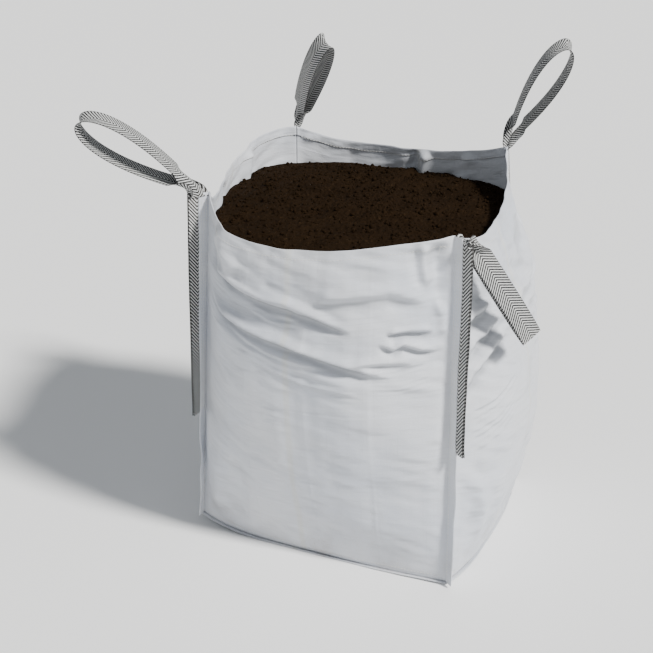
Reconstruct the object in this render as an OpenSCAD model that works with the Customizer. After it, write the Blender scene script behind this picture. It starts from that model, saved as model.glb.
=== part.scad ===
// Filled bulk bag (flexible intermediate bulk container), four side panels sewn at the corners,
// one webbing lifting loop at each corner, open hemmed mouth, standing on the floor full of soil.
// Corners count counter-clockwise seen from above: 0 front left, 1 front right, 2 back right,
// 3 back left. Side i runs from corner i to corner i + 1: 0 front, 1 right, 2 back, 3 left.

/* [Filled shape] */
// Half the side of the square through the top corners
top_half = 390; // [370:1:410]
// Half the side of the square through the base corners
base_half = 396; // [380:1:410]
// Mean height of the top corners above the floor
corner_height = 1098; // [1050:1:1130]
// How far a side bulges beyond the line between its corners, at mid height
side_bulge = 155; // [110:1:165]
// Height of the soil at the front edge
soil_level = 968; // [900:1:975]
// Rise of the soil from the front edge to the back edge
soil_tilt = 26; // [0:1:35]
// Extra height of the soil in the middle
soil_crown = 16; // [0:1:30]

/* [Fabric] */
// Thickness of the woven fabric shell, measured along the corner bisector
fabric_t = 3.5; // [2.5:0.1:4]
// Extra thickness of the folded hem at the rim
hem_extra = 2.5; // [1:0.1:3]
// Width of the seam allowance that stands out at each corner
allowance_w = 32; // [20:1:35]
// Thickness of one layer of seam allowance
allowance_t = 1; // [0.8:0.1:1.5]
// Width of the base panel's lip outside the walls
base_lip = 12; // [6:1:16]
// Thickness of the base panel
base_t = 3; // [2:0.1:4]
// Diameter of the sewing thread
thread_d = 1.4; // [1:0.1:2]

/* [Webbing] */
// Width of the lifting webbing
web_w = 65; // [50:1:70]
// Thickness of the lifting webbing
web_t = 1.8; // [1.4:0.1:2]
// Share of the wall height, from the base, at which the sewn legs end at the back and front left
leg_end = 0.34; // [0.3:0.01:0.36]
// The same share at the front right corner
leg_end_right = 0.4; // [0.39:0.01:0.45]
// Width of the webbing where it is gathered at the hinge line
neck_w = 26; // [20:1:34]
// Height of the hinge line above the corner of the rim
hinge_rise = 14; // [12:1:24]
// Distance from the corner out to the middle of the hinge line
hinge_out = 40; // [36:1:44]
// Length of a loop, hinge line to tip
loop_len = 382; // [300:1:400]

/* [Hidden] */

// How the filled bag has settled: offset of each top and base corner from the two squares.
TOP_SLUMP = [[59, 3, -13], [32, -20, -38], [-72, -20, 32], [-20, -6, 19]];
BASE_SLUMP = [[14, 56, 36], [40, 10, 6], [2, -46, 5], [6, 2, 20]];
// Bulge of each side as a share of side_bulge: at the base, at mid height and at the rim.
BULGE = [[0.08, 1, 1.05], [0.2, 1.05, 0.3], [0.6, 1, 0.5], [0.55, 0.62, 0.6]];
// How far the rim dips between its corners on each side.
RIM_DIP = [73, 77, 56, 61];
// Where along each side the bulge and the dip of the rim peak, as shares of the half side.
PEAK = [-0.12, 0, 0, -0.35];
DIP_PEAK = [-0.38, 0, 0, 0.45];
// Direction of the seam allowance at each corner, at the base and at the rim, degrees from +X.
FIN_BASE = [-80, -45, 70, 135];
FIN_TOP = [-128, -20, 105, 110];
BULGE_POWER = 3;
DIP_POWER = 2.6;
LIFT_POWER = 4;
OUTWARD = [[0, -1, 0], [1, 0, 0], [0, 1, 0], [-1, 0, 0]];
SIGN = [[-1, -1], [1, -1], [1, 1], [-1, 1]];
Z = [0, 0, 1];

// Rows up the wall. The second row is the base stitching, the last but one starts the hem.
hem_row = 0.972;
stitch_row = 0.976;
base_stitch_row = 0.016;
slot_ramp = 0.008;
ROWS = [0, base_stitch_row, 0.07, 0.13, 0.19, 0.25, leg_end - slot_ramp, leg_end,
        leg_end_right - slot_ramp, leg_end_right, 0.47, 0.53, 0.59, 0.65, 0.71, 0.77, 0.83,
        0.88, 0.93, hem_row, stitch_row, 1];
ROW_COUNT = len(ROWS);
LEG_END = [leg_end, leg_end_right, leg_end, leg_end];
function leg_rows(k) = [for (v = ROWS) if (v >= LEG_END[k]) v];
WALL_STEPS = 14;
// Half the slot between two panels at a corner: webbing in it above leg_end, closed below.
slot_half = web_t + 0.2;
closed_half = 0.15;
panel_foot = base_t + 0.3;
soil_inset = 9;
base_inset = 5;
soil_clear = 0.4;
thread_clear = 0.3;

fabric_colour = [0.9, 0.91, 0.92];
webbing_colour = [0.45, 0.46, 0.47];
thread_colour = [0.96, 0.96, 0.94];
soil_colour = [0.16, 0.11, 0.07];

function mix(a, b, t) = a * (1 - t) + b * t;
function unit(p) = p / norm(p);
function next(i) = (i + 1) % 4;
function top_corner(k) =
    [SIGN[k].x * top_half, SIGN[k].y * top_half, corner_height] + TOP_SLUMP[k];
function base_corner(k) =
    [SIGN[k].x * base_half, SIGN[k].y * base_half, 0] + BASE_SLUMP[k];
function corner_at(k, v) = mix(base_corner(k), top_corner(k), v);
function fin_angle(k, v) = mix(FIN_BASE[k], FIN_TOP[k], v);
function fin_out(k, v) = [cos(fin_angle(k, v)), sin(fin_angle(k, v)), 0];
function fin_side(k, v) = [-sin(fin_angle(k, v)), cos(fin_angle(k, v)), 0];
function slot_at(k, v) = v < LEG_END[k] ? closed_half : slot_half;

// Sideways bulge of side i at height share v: a parabola through its three stated values.
function bulge(i, v) = side_bulge * (BULGE[i][0] * (1 - v) * (1 - 2 * v)
    + BULGE[i][1] * 4 * v * (1 - v) + BULGE[i][2] * v * (2 * v - 1));

// Point of the wall on side i: u runs from -1 to 1 between its corners, v from base to rim.
// inset moves it into the bag along the corner bisectors, cloth moves the ends off the slot
// by the slot's half width and the stated thickness of cloth.
function wall(i, u, v, inset, cloth) =
    let (k = next(i), w = (u + 1) / 2,
         a = corner_at(i, v) + fin_side(i, v) * (slot_at(i, v) + cloth) - bisector(i) * inset,
         b = corner_at(k, v) - fin_side(k, v) * (slot_at(k, v) + cloth) - bisector(k) * inset,
         swell = 1 - pow(abs(skew(PEAK[i], u)), BULGE_POWER),
         p = mix(a, b, w) + OUTWARD[i] * bulge(i, v) * swell)
    [p.x, p.y, wall_z(i, u, v)];
function bisector(k) = [SIGN[k].x, SIGN[k].y, 0] * sqrt(0.5);
// u pushed along so that it is 0 where the bulge or the dip peaks and still 1 at the corners.
function skew(peak, u) = u - peak * (1 - u * u);
function base_z(i, u) =
    mix(base_corner(i).z, base_corner(next(i)).z, (u + 1) / 2) * pow(abs(u), LIFT_POWER);
function rim_z(i, u) = mix(top_corner(i).z, top_corner(next(i)).z, (u + 1) / 2)
    - RIM_DIP[i] * (1 - pow(abs(skew(DIP_PEAK[i], u)), DIP_POWER));
function wall_z(i, u, v) = mix(base_z(i, u) + panel_foot, rim_z(i, u), v);
function step_u(j) = 2 * j / WALL_STEPS - 1;
function fin_point(k, v, out, side, cloth) =
    let (p = corner_at(k, v) + fin_out(k, v) * out
             + fin_side(k, v) * side * (slot_at(k, v) + cloth))
    [p.x, p.y, mix(base_corner(k).z + panel_foot, top_corner(k).z, v)];

// One row of a panel, from the tip of one seam allowance to the tip of the other. Each
// allowance is flat as far as its foot, where it turns into the wall.
allowance_foot = 1.5;
function panel_row(i, v, inset, cloth) = concat(
    [for (out = [allowance_w, allowance_foot]) fin_point(i, v, out, 1, cloth)],
    [for (j = [0 : WALL_STEPS]) wall(i, step_u(j), v, inset, cloth)],
    [for (out = [allowance_foot, allowance_w]) fin_point(next(i), v, out, -1, cloth)]);
PANEL_COLS = WALL_STEPS + 5;

function quad(a, b, c, d) = [[a, b, c], [a, c, d]];
// The same quad split along its other diagonal.
function quad_other(a, b, c, d) = quad(b, c, d, a);
// Faces of a closed shell made of an outer and an inner grid of rows by cols points. The first
// column is split like the last one seen in a mirror, as the webbing legs beside them are.
function shell_faces(rows, cols) =
    let (inner = rows * cols, last = (rows - 1) * cols)
    [for (q = concat(
        [for (r = [0 : rows - 2], c = [0 : cols - 2])
            let (a = r * cols + c, b = a + cols)
            c == 0 ? quad_other(a, b, b + 1, a + 1) : quad(a, b, b + 1, a + 1)],
        [for (r = [0 : rows - 2], c = [0 : cols - 2])
            let (a = inner + r * cols + c, b = a + cols)
            c == 0 ? quad_other(a, a + 1, b + 1, b) : quad(a, a + 1, b + 1, b)],
        [for (c = [0 : cols - 2])
            quad(c, c + 1, inner + c + 1, inner + c)],
        [for (c = [0 : cols - 2])
            quad(last + c, inner + last + c, inner + last + c + 1, last + c + 1)],
        [for (r = [0 : rows - 2])
            quad(r * cols, inner + r * cols, inner + (r + 1) * cols, (r + 1) * cols)],
        [for (r = [0 : rows - 2])
            quad(r * cols + cols - 1, (r + 1) * cols + cols - 1,
                 inner + (r + 1) * cols + cols - 1, inner + r * cols + cols - 1)]))
        each q];

// Faces of a solid swept through closed rings of the same number of points. The two broad
// sides of a strip, and the two faces of a sheet, are split along the same diagonal, so that a
// twisted one keeps its thickness.
function sweep_faces(rings, n, sheet) = concat(
    [[for (j = [0 : n - 1]) j]],
    [for (r = [0 : rings - 2], j = [0 : n - 1])
        let (a = r * n + j, b = a + n, d = r * n + (j + 1) % n, c = d + n)
        each ((sheet ? r < (rings - 1) / 2 : j < n / 2) ? quad(a, b, c, d)
            : quad_other(a, b, c, d))],
    [[for (j = [n - 1 : -1 : 0]) (rings - 1) * n + j]]);

module sweep(rings, sheet = false) {
    polyhedron([for (r = rings) each r], sweep_faces(len(rings), len(rings[0]), sheet),
               convexity = 6);
}

// Side panel with its hem and with a seam allowance at each end.
module side_panel(i) {
    outer = [for (v = ROWS) each panel_row(i, v, 0, allowance_t)];
    inner = [for (v = ROWS)
        each panel_row(i, v, fabric_t + (v >= stitch_row ? hem_extra : 0), 0)];
    color(fabric_colour)
        polyhedron(concat(outer, inner), shell_faces(ROW_COUNT, PANEL_COLS), convexity = 8);
}

// Ring of points round the bag at height share v, one set of WALL_STEPS for each side.
function wall_ring(v, inset) = [for (i = [0 : 3], j = [0 : WALL_STEPS - 1])
    wall(i, step_u(j), v, inset, 0)];
function base_edge_z() = [for (i = [0 : 3], j = [0 : WALL_STEPS - 1]) base_z(i, step_u(j))];
BASE_CENTRE = (base_corner(0) + base_corner(1) + base_corner(2) + base_corner(3)) / 4;
// Share of the floor that lies flat on the ground; outside it the floor turns up.
flat_share = 0.7;
// Ring of the bag's floor shrunk to share s about its centre and raised by lift.
function floor_ring(s, inset, lift) =
    let (edge = wall_ring(0, inset), rise = base_edge_z())
    [for (n = [0 : len(edge) - 1])
        [mix(BASE_CENTRE.x, edge[n].x, s), mix(BASE_CENTRE.y, edge[n].y, s),
         rise[n] * pow(max(0, s - flat_share) / (1 - flat_share), 2) + lift]];

// Floor panel: flat where it stands, turned up to the corners, with a lip outside the walls.
module base_panel() {
    shares = [0.35, flat_share, 0.88, 1];
    under = concat([for (s = shares) floor_ring(s, base_inset, 0)],
                   [floor_ring(1, -base_lip, 0)]);
    over = concat([floor_ring(1, -base_lip, base_t)],
                  [for (n = [len(shares) - 1 : -1 : 0])
                      floor_ring(shares[n], base_inset, base_t)]);
    color(fabric_colour) sweep(concat(under, over), true);
}

// Soil: fills the bag up to a slightly crowned top.
SOIL_ROWS = [0, 0.08, 0.22, 0.4, 0.6, 0.8, 0.92, 1];
TOP_SHARES = [0.85, 0.6, 0.3];
function soil_edge_z(p) = soil_level + soil_tilt * (p.y + base_half) / (2 * base_half);
function soil_side_ring(t) = [for (i = [0 : 3], j = [0 : WALL_STEPS - 1])
    let (u = step_u(j), rim = wall(i, u, 0.9, soil_inset, 0),
         high = (soil_edge_z(rim) - wall_z(i, u, 0)) / (rim_z(i, u) - wall_z(i, u, 0)),
         p = wall(i, u, high * t, soil_inset, 0))
    [p.x, p.y, p.z + soil_clear]];
module soil_fill() {
    bottom = [for (s = [0.35, flat_share, 0.88]) floor_ring(s, soil_inset, panel_foot + soil_clear)];
    side = [for (t = SOIL_ROWS) soil_side_ring(t)];
    edge = side[len(side) - 1];
    middle = [BASE_CENTRE.x, BASE_CENTRE.y, soil_level + soil_tilt / 2];
    top = [for (s = TOP_SHARES) [for (p = edge)
        mix(middle, p, s) + Z * soil_crown * (1 - s * s)]];
    color(soil_colour) sweep(concat(bottom, side, top), true);
}

// Outer reach of a sewn leg from the corner line, drawn in towards the neck above the rim.
gather_from = 0.93;
gather_reach = 58;
function leg_reach(v) =
    v < gather_from ? web_w : mix(web_w, gather_reach, (v - gather_from) / (1 - gather_from));
// Sewn leg of corner k: side 1 is leg a, side -1 is leg b, sandwiched in the corner seam.
module strap_leg(k, side) {
    near = 0.1;
    far = near + web_t;
    function across(p, v, r0, r1, r2) = [
        for (c = [[r0, near], [r1, near], [r2, near], [r2, far], [r1, far], [r0, far]])
            p + fin_out(k, v) * c[0] + fin_side(k, v) * side * c[1]];
    function spine(v) = let (p = corner_at(k, v))
        [p.x, p.y, mix(base_corner(k).z + panel_foot, top_corner(k).z, v)];
    sewn = [for (v = leg_rows(k)) across(spine(v), v, allowance_foot + 0.5, allowance_w,
                                         leg_reach(v))];
    neck = across(spine(1) + Z * (hinge_rise - 1), 1,
                  hinge_out - neck_w / 4, hinge_out, hinge_out + neck_w / 4);
    rings = concat(sewn, [neck]);
    color(webbing_colour)
        sweep(side > 0 ? rings : [for (r = rings) [for (j = [5 : -1 : 0]) r[j]]]);
}

// Lifting loops. The loop leaves its hinge along LOOP_RUN, measured from the hinge to the tip
// in the bag's own axes. LOOP_OPEN is the direction in which its two strands part, and
// LOOP_GAP is how far apart they stand.
LOOP_RUN = [[-285, -160, 200], [158, 147, -319], [190, -60, 320], [170, -160, 300]];
LOOP_OPEN = [[0.49, -0.08, 0.86], [0.85, -0.49, 0.2], [-0.6, -0.52, 0.6], [-0.07, -0.88, 0.46]];
LOOP_GAP = [96, 28, 84, 60];
LOOP_STEPS = 26;
// Distance from each hinge line at which the loop's own webbing starts.
LOOP_START = [14, 28, 14, 14];
// Distance of each strand's middle from the loop's middle plane where the loop starts.
start_apart = web_t / 2 + 0.2;
// Share of LOOP_GAP that makes the widest distance between the strands equal to it.
gap_share = 0.65;
function hinge_point(k) = top_corner(k) + fin_out(k, 1) * hinge_out + Z * hinge_rise;
function loop_axis(k) = unit(LOOP_RUN[k]);
function loop_open(k) =
    let (a = loop_axis(k), b = LOOP_OPEN[k]) unit(b - a * (a * b));
// Cross-section of the webbing at share s of the way round the loop.
function loop_ring(k, s) =
    let (a = loop_axis(k), b = loop_open(k), w = cross(a, b),
         rise = 1 - cos(360 * s), gap = LOOP_GAP[k] * gap_share,
         along = LOOP_START[k] + (loop_len - LOOP_START[k] - web_t / 2) * rise / 2,
         apart = gap * sin(360 * s) * sin(180 * s) + start_apart * cos(180 * s),
         d_along = (loop_len - LOOP_START[k]) * sin(360 * s) * 180,
         d_apart = gap * (360 * cos(360 * s) * sin(180 * s) + 180 * sin(360 * s) * cos(180 * s))
             - start_apart * 180 * sin(180 * s),
         t = abs(d_along) + abs(d_apart) < 1 ? a * (s < 0.5 ? 1 : -1)
             : unit(a * d_along + b * d_apart),
         n = cross(t, w),
         width = min(web_w, neck_w + (web_w - neck_w) * rise),
         c = hinge_point(k) + a * along + b * apart)
    [c - w * width / 2 - n * web_t / 2, c + w * width / 2 - n * web_t / 2,
     c + w * width / 2 + n * web_t / 2, c - w * width / 2 + n * web_t / 2];
module lifting_loop(k) {
    color(webbing_colour)
        sweep([for (n = [0 : LOOP_STEPS]) loop_ring(k, n / LOOP_STEPS)]);
}

// A run of thread along points, square in section, standing off the cloth along normals.
module thread(points, normals, across) {
    h = thread_d;
    sweep([for (n = [0 : len(points) - 1])
        let (o = normals[n] * thread_clear, up = normals[n] * h, s = across[n] * h / 2)
        [points[n] + o - s, points[n] + o + s, points[n] + o + up + s, points[n] + o + up - s]]);
}
// Thread along a level row of side i.
module level_stitching(i, v) {
    inner_u = [for (j = [1 : WALL_STEPS - 1]) step_u(j)];
    color(thread_colour)
        thread([for (u = inner_u) wall(i, u, v, 0, allowance_t)],
               [for (u = inner_u) OUTWARD[i]], [for (u = inner_u) Z]);
}
// Threads on both faces of the seam allowance of corner k, at distance out from the corner.
module fin_stitching(k, out, rows) {
    color(thread_colour) for (side = [1, -1])
        thread([for (v = rows) fin_point(k, v, out, side, allowance_t)],
               [for (v = rows) fin_side(k, v) * side],
               [for (v = rows) fin_out(k, v) * side]);
}
corner_seam = 8;
strap_seam = 24;
SEAM_ROWS = [for (v = ROWS) if (v > 0 && v < 1) v];
function strap_rows(k) = [for (v = leg_rows(k)) if (v > LEG_END[k] && v < 1) v];

side_panel(0);  // front_panel
side_panel(1);  // right_panel
side_panel(2);  // back_panel
side_panel(3);  // left_panel
base_panel();
soil_fill();
strap_leg(0, 1);  // front_left_strap_leg_a
strap_leg(0, -1);  // front_left_strap_leg_b
strap_leg(1, 1);  // front_right_strap_leg_a
strap_leg(1, -1);  // front_right_strap_leg_b
strap_leg(2, 1);  // back_right_strap_leg_a
strap_leg(2, -1);  // back_right_strap_leg_b
strap_leg(3, 1);  // back_left_strap_leg_a
strap_leg(3, -1);  // back_left_strap_leg_b
lifting_loop(0);  // front_left_loop
lifting_loop(1);  // front_right_loop
lifting_loop(2);  // back_right_loop
lifting_loop(3);  // back_left_loop
level_stitching(0, stitch_row);  // front_hem_stitching
level_stitching(1, stitch_row);  // right_hem_stitching
level_stitching(2, stitch_row);  // back_hem_stitching
level_stitching(3, stitch_row);  // left_hem_stitching
level_stitching(0, base_stitch_row);  // front_base_stitching
level_stitching(1, base_stitch_row);  // right_base_stitching
level_stitching(2, base_stitch_row);  // back_base_stitching
level_stitching(3, base_stitch_row);  // left_base_stitching
fin_stitching(0, corner_seam, SEAM_ROWS);  // front_left_seam_stitching
fin_stitching(1, corner_seam, SEAM_ROWS);  // front_right_seam_stitching
fin_stitching(2, corner_seam, SEAM_ROWS);  // back_right_seam_stitching
fin_stitching(3, corner_seam, SEAM_ROWS);  // back_left_seam_stitching
fin_stitching(0, strap_seam, strap_rows(0));  // front_left_strap_stitching
fin_stitching(1, strap_seam, strap_rows(1));  // front_right_strap_stitching
fin_stitching(2, strap_seam, strap_rows(2));  // back_right_strap_stitching
fin_stitching(3, strap_seam, strap_rows(3));  // back_left_strap_stitching
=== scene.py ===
"""Dresses the packed frame of a filled bulk bag: woven cloth, herringbone webbing, stitching, soil.

Corners count counter-clockwise seen from above: front left, front right, back right, back left.
Side i runs from corner i to corner i + 1: front, right, back, left. Lengths are in metres.
"""

import math

import bmesh
import bpy
import numpy as np
from bpy.props import FloatProperty, FloatVectorProperty, IntProperty, PointerProperty
from mathutils import Matrix, Vector


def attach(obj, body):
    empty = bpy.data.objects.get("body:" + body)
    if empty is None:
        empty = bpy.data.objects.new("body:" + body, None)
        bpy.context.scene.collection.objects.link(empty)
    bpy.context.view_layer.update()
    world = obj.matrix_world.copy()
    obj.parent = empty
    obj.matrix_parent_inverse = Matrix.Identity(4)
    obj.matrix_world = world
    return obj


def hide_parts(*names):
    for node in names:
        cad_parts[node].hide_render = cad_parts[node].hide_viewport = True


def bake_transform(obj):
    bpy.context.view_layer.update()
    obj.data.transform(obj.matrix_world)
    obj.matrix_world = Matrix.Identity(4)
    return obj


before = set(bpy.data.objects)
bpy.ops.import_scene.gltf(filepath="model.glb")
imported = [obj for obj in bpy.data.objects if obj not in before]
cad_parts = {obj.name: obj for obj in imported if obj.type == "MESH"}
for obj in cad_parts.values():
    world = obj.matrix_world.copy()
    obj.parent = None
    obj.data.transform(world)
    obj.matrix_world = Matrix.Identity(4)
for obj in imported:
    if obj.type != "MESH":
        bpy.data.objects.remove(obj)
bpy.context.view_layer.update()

bl_info = {
    "name": "Filled Bulk Bag",
    "version": (1, 0, 0),
    "blender": (4, 5, 0),
    "location": "View3D > Sidebar > Bulk Bag",
    "description": "Builds the cloth, webbing, stitching and soil of a filled bulk bag",
    "category": "Object",
}

CORNERS = ("front_left", "front_right", "back_right", "back_left")
SIDES = ("front", "right", "back", "left")
ROOT = "bag"
UP = np.array([0.0, 0.0, 1.0])
MM = 0.001


# ---------------------------------------------------------------- settings

class BagShapeSettings(bpy.types.PropertyGroup):
    """Sizes of the filled bag, the same as the frame's."""
    top_half: FloatProperty(name="Half top", description="Half the square through the top corners",
                            default=0.390, unit="LENGTH")
    base_half: FloatProperty(name="Half base", description="Half the square through the base corners",
                             default=0.396, unit="LENGTH")
    corner_height: FloatProperty(name="Corner height", description="Mean height of the top corners",
                                 default=1.098, unit="LENGTH")
    side_bulge: FloatProperty(name="Side bulge", description="How far a side bulges at mid height",
                              default=0.155, unit="LENGTH")
    soil_level: FloatProperty(name="Soil level", description="Height of the soil at the front edge",
                              default=0.968, unit="LENGTH")
    soil_tilt: FloatProperty(name="Soil tilt", description="Rise of the soil towards the back",
                             default=0.026, unit="LENGTH")
    soil_crown: FloatProperty(name="Soil crown", description="Extra height of the soil in the middle",
                              default=0.016, unit="LENGTH")
    loop_len: FloatProperty(name="Loop length", description="Length of a loop, hinge line to tip",
                            default=0.382, unit="LENGTH")


class ClothSettings(bpy.types.PropertyGroup):
    """The woven cloth of the panels and its hems."""
    thickness: FloatProperty(name="Cloth thickness", description="Thickness of one layer of cloth",
                             default=0.0012, unit="LENGTH")
    allowance: FloatProperty(name="Seam allowance", description="Width of cloth outside a corner seam",
                             default=0.032, unit="LENGTH")
    hem: FloatProperty(name="Hem depth", description="Depth of the folded hem at the mouth",
                       default=0.027, unit="LENGTH")
    fold_depth: FloatProperty(name="Fold depth", description="Scales every fold in the cloth",
                              default=1.7, min=0.0, max=2.0)
    tape: FloatProperty(name="Tape width", description="Width of one tape of the weave",
                        default=0.0026, unit="LENGTH")
    colour: FloatVectorProperty(name="Cloth colour", description="Colour of clean cloth",
                                subtype="COLOR", default=(0.655, 0.672, 0.71))
    grime: FloatVectorProperty(name="Grime colour", description="Colour of dust rubbed into cloth",
                               subtype="COLOR", default=(0.30, 0.26, 0.215))


class WebbingSettings(bpy.types.PropertyGroup):
    """The lifting webbing."""
    width: FloatProperty(name="Webbing width", description="Width of the webbing",
                         default=0.065, unit="LENGTH")
    thickness: FloatProperty(name="Webbing thickness", description="Thickness of the webbing",
                             default=0.0018, unit="LENGTH")
    pitch: FloatProperty(name="Chevron pitch", description="Distance from one dark stripe to the next",
                         default=0.0094, unit="LENGTH")
    light: FloatVectorProperty(name="Light yarn", description="Colour of the light yarn",
                               subtype="COLOR", default=(0.74, 0.75, 0.74))
    dark: FloatVectorProperty(name="Dark yarn", description="Colour of the dark yarn",
                              subtype="COLOR", default=(0.012, 0.012, 0.014))


class ThreadSettings(bpy.types.PropertyGroup):
    """The sewing thread."""
    diameter: FloatProperty(name="Thread diameter", description="Diameter of the sewing thread",
                            default=0.0014, unit="LENGTH")
    stitch: FloatProperty(name="Stitch length", description="Length of one stitch on the surface",
                          default=0.0075, unit="LENGTH")
    gap: FloatProperty(name="Stitch gap", description="Gap between two stitches",
                       default=0.0028, unit="LENGTH")
    colour: FloatVectorProperty(name="Thread colour", description="Colour of the thread",
                                subtype="COLOR", default=(0.86, 0.85, 0.80))


class SoilSettings(bpy.types.PropertyGroup):
    """The soil in the bag."""
    roughness: FloatProperty(name="Crumb height", description="Scales the roughness of the soil",
                             default=1.0, min=0.0, max=3.0)
    crumbs: IntProperty(name="Crumbs", description="Number of loose crumbs on top",
                        default=2600, min=0, max=8000)
    colour: FloatVectorProperty(name="Soil colour", description="Colour of damp soil",
                                subtype="COLOR", default=(0.0150, 0.0082, 0.0036))
    dry: FloatVectorProperty(name="Dry soil colour", description="Colour of drier crumbs",
                             subtype="COLOR", default=(0.040, 0.0230, 0.0108))


class StageSettings(bpy.types.PropertyGroup):
    """Floor, lights and camera."""
    floor: FloatVectorProperty(name="Floor colour", description="Colour of the floor and backdrop",
                               subtype="COLOR", default=(0.93, 0.93, 0.93))
    azimuth: FloatProperty(name="Camera azimuth", description="Camera angle round the bag, degrees",
                           default=23.28)
    elevation: FloatProperty(name="Camera elevation", description="Camera angle above the horizon",
                             default=19.71)
    roll: FloatProperty(name="Camera roll", description="Camera roll, degrees", default=1.06)
    distance: FloatProperty(name="Camera distance", description="Camera to the middle of the bag",
                            default=4.861, unit="LENGTH")
    lens: FloatProperty(name="Lens", description="Focal length on a 36 mm sensor, in mm",
                        default=85.73)


# ---------------------------------------------------------------- shape of the filled bag

# How the bag has settled: offsets of its corners from the two squares.
TOP_SLUMP = np.array([[59, 3, -13], [32, -20, -38], [-72, -20, 32], [-20, -6, 19]]) * MM
BASE_SLUMP = np.array([[14, 56, 36], [40, 10, 6], [2, -46, 5], [6, 2, 20]]) * MM
# Bulge of each side at the base, at mid height and at the rim, as shares of side_bulge.
BULGE = ((0.08, 1, 1.05), (0.2, 1.05, 0.3), (0.6, 1, 0.5), (0.55, 0.62, 0.6))
RIM_DIP = (0.073, 0.077, 0.056, 0.061)
PEAK = (-0.12, 0, 0, -0.35)
DIP_PEAK = (-0.38, 0, 0, 0.45)
# Direction of the seam allowance at each corner, at the base and at the rim, degrees from +X.
FIN_BASE = (-80, -45, 70, 135)
FIN_TOP = (-128, -20, 105, 110)
LEG_END = (0.34, 0.40, 0.34, 0.34)
BASE_T = 0.003
PANEL_FOOT = BASE_T + 0.0003
FLAT_SHARE = 0.7
# Rise of the hinge line above the rim's corner, and its distance out from the corner.
HINGE_RISE = 0.014
HINGE_OUT = 0.040
SIGN = np.array([[-1, -1, 0], [1, -1, 0], [1, 1, 0], [-1, 1, 0]], float)
OUTWARD = np.array([[0, -1, 0], [1, 0, 0], [0, 1, 0], [-1, 0, 0]], float)
# Distance out from a corner line over which its two cloth layers part to hold the webbing.
SEAM_PINCH = 0.008
STITCH_ROW = 0.976
BASE_STITCH_ROW = 0.016

# Each loop: run from hinge to tip, direction in which its strands part, gap, start of the loop.
LOOP_RUN = ((-285, -160, 200), (158, 147, -319), (190, -60, 320), (170, -160, 300))
LOOP_OPEN = ((0.49, -0.08, 0.86), (0.74, -0.65, 0.07), (-0.6, -0.52, 0.6), (-0.07, -0.88, 0.46))
LOOP_GAP = (0.096, 0.018, 0.084, 0.060)
LOOP_START = (0.014, 0.028, 0.014, 0.014)
# Radians through which the webbing is curled across its width at its neck.
NECK_CURL = 3.9
# Size on which a side panel's weave and folds are laid out: its height, and half its width.
PANEL_HEIGHT = 1.07
PANEL_HALF = 0.44
# Half the gap between two layers that are sewn shut.
CLOSED_GAP = 0.0002
# Rise of the middle of each band at its tip, which a hook has pinched.
TIP_PINCH = (0.010, 0.0, 0.010, 0.010)

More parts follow.
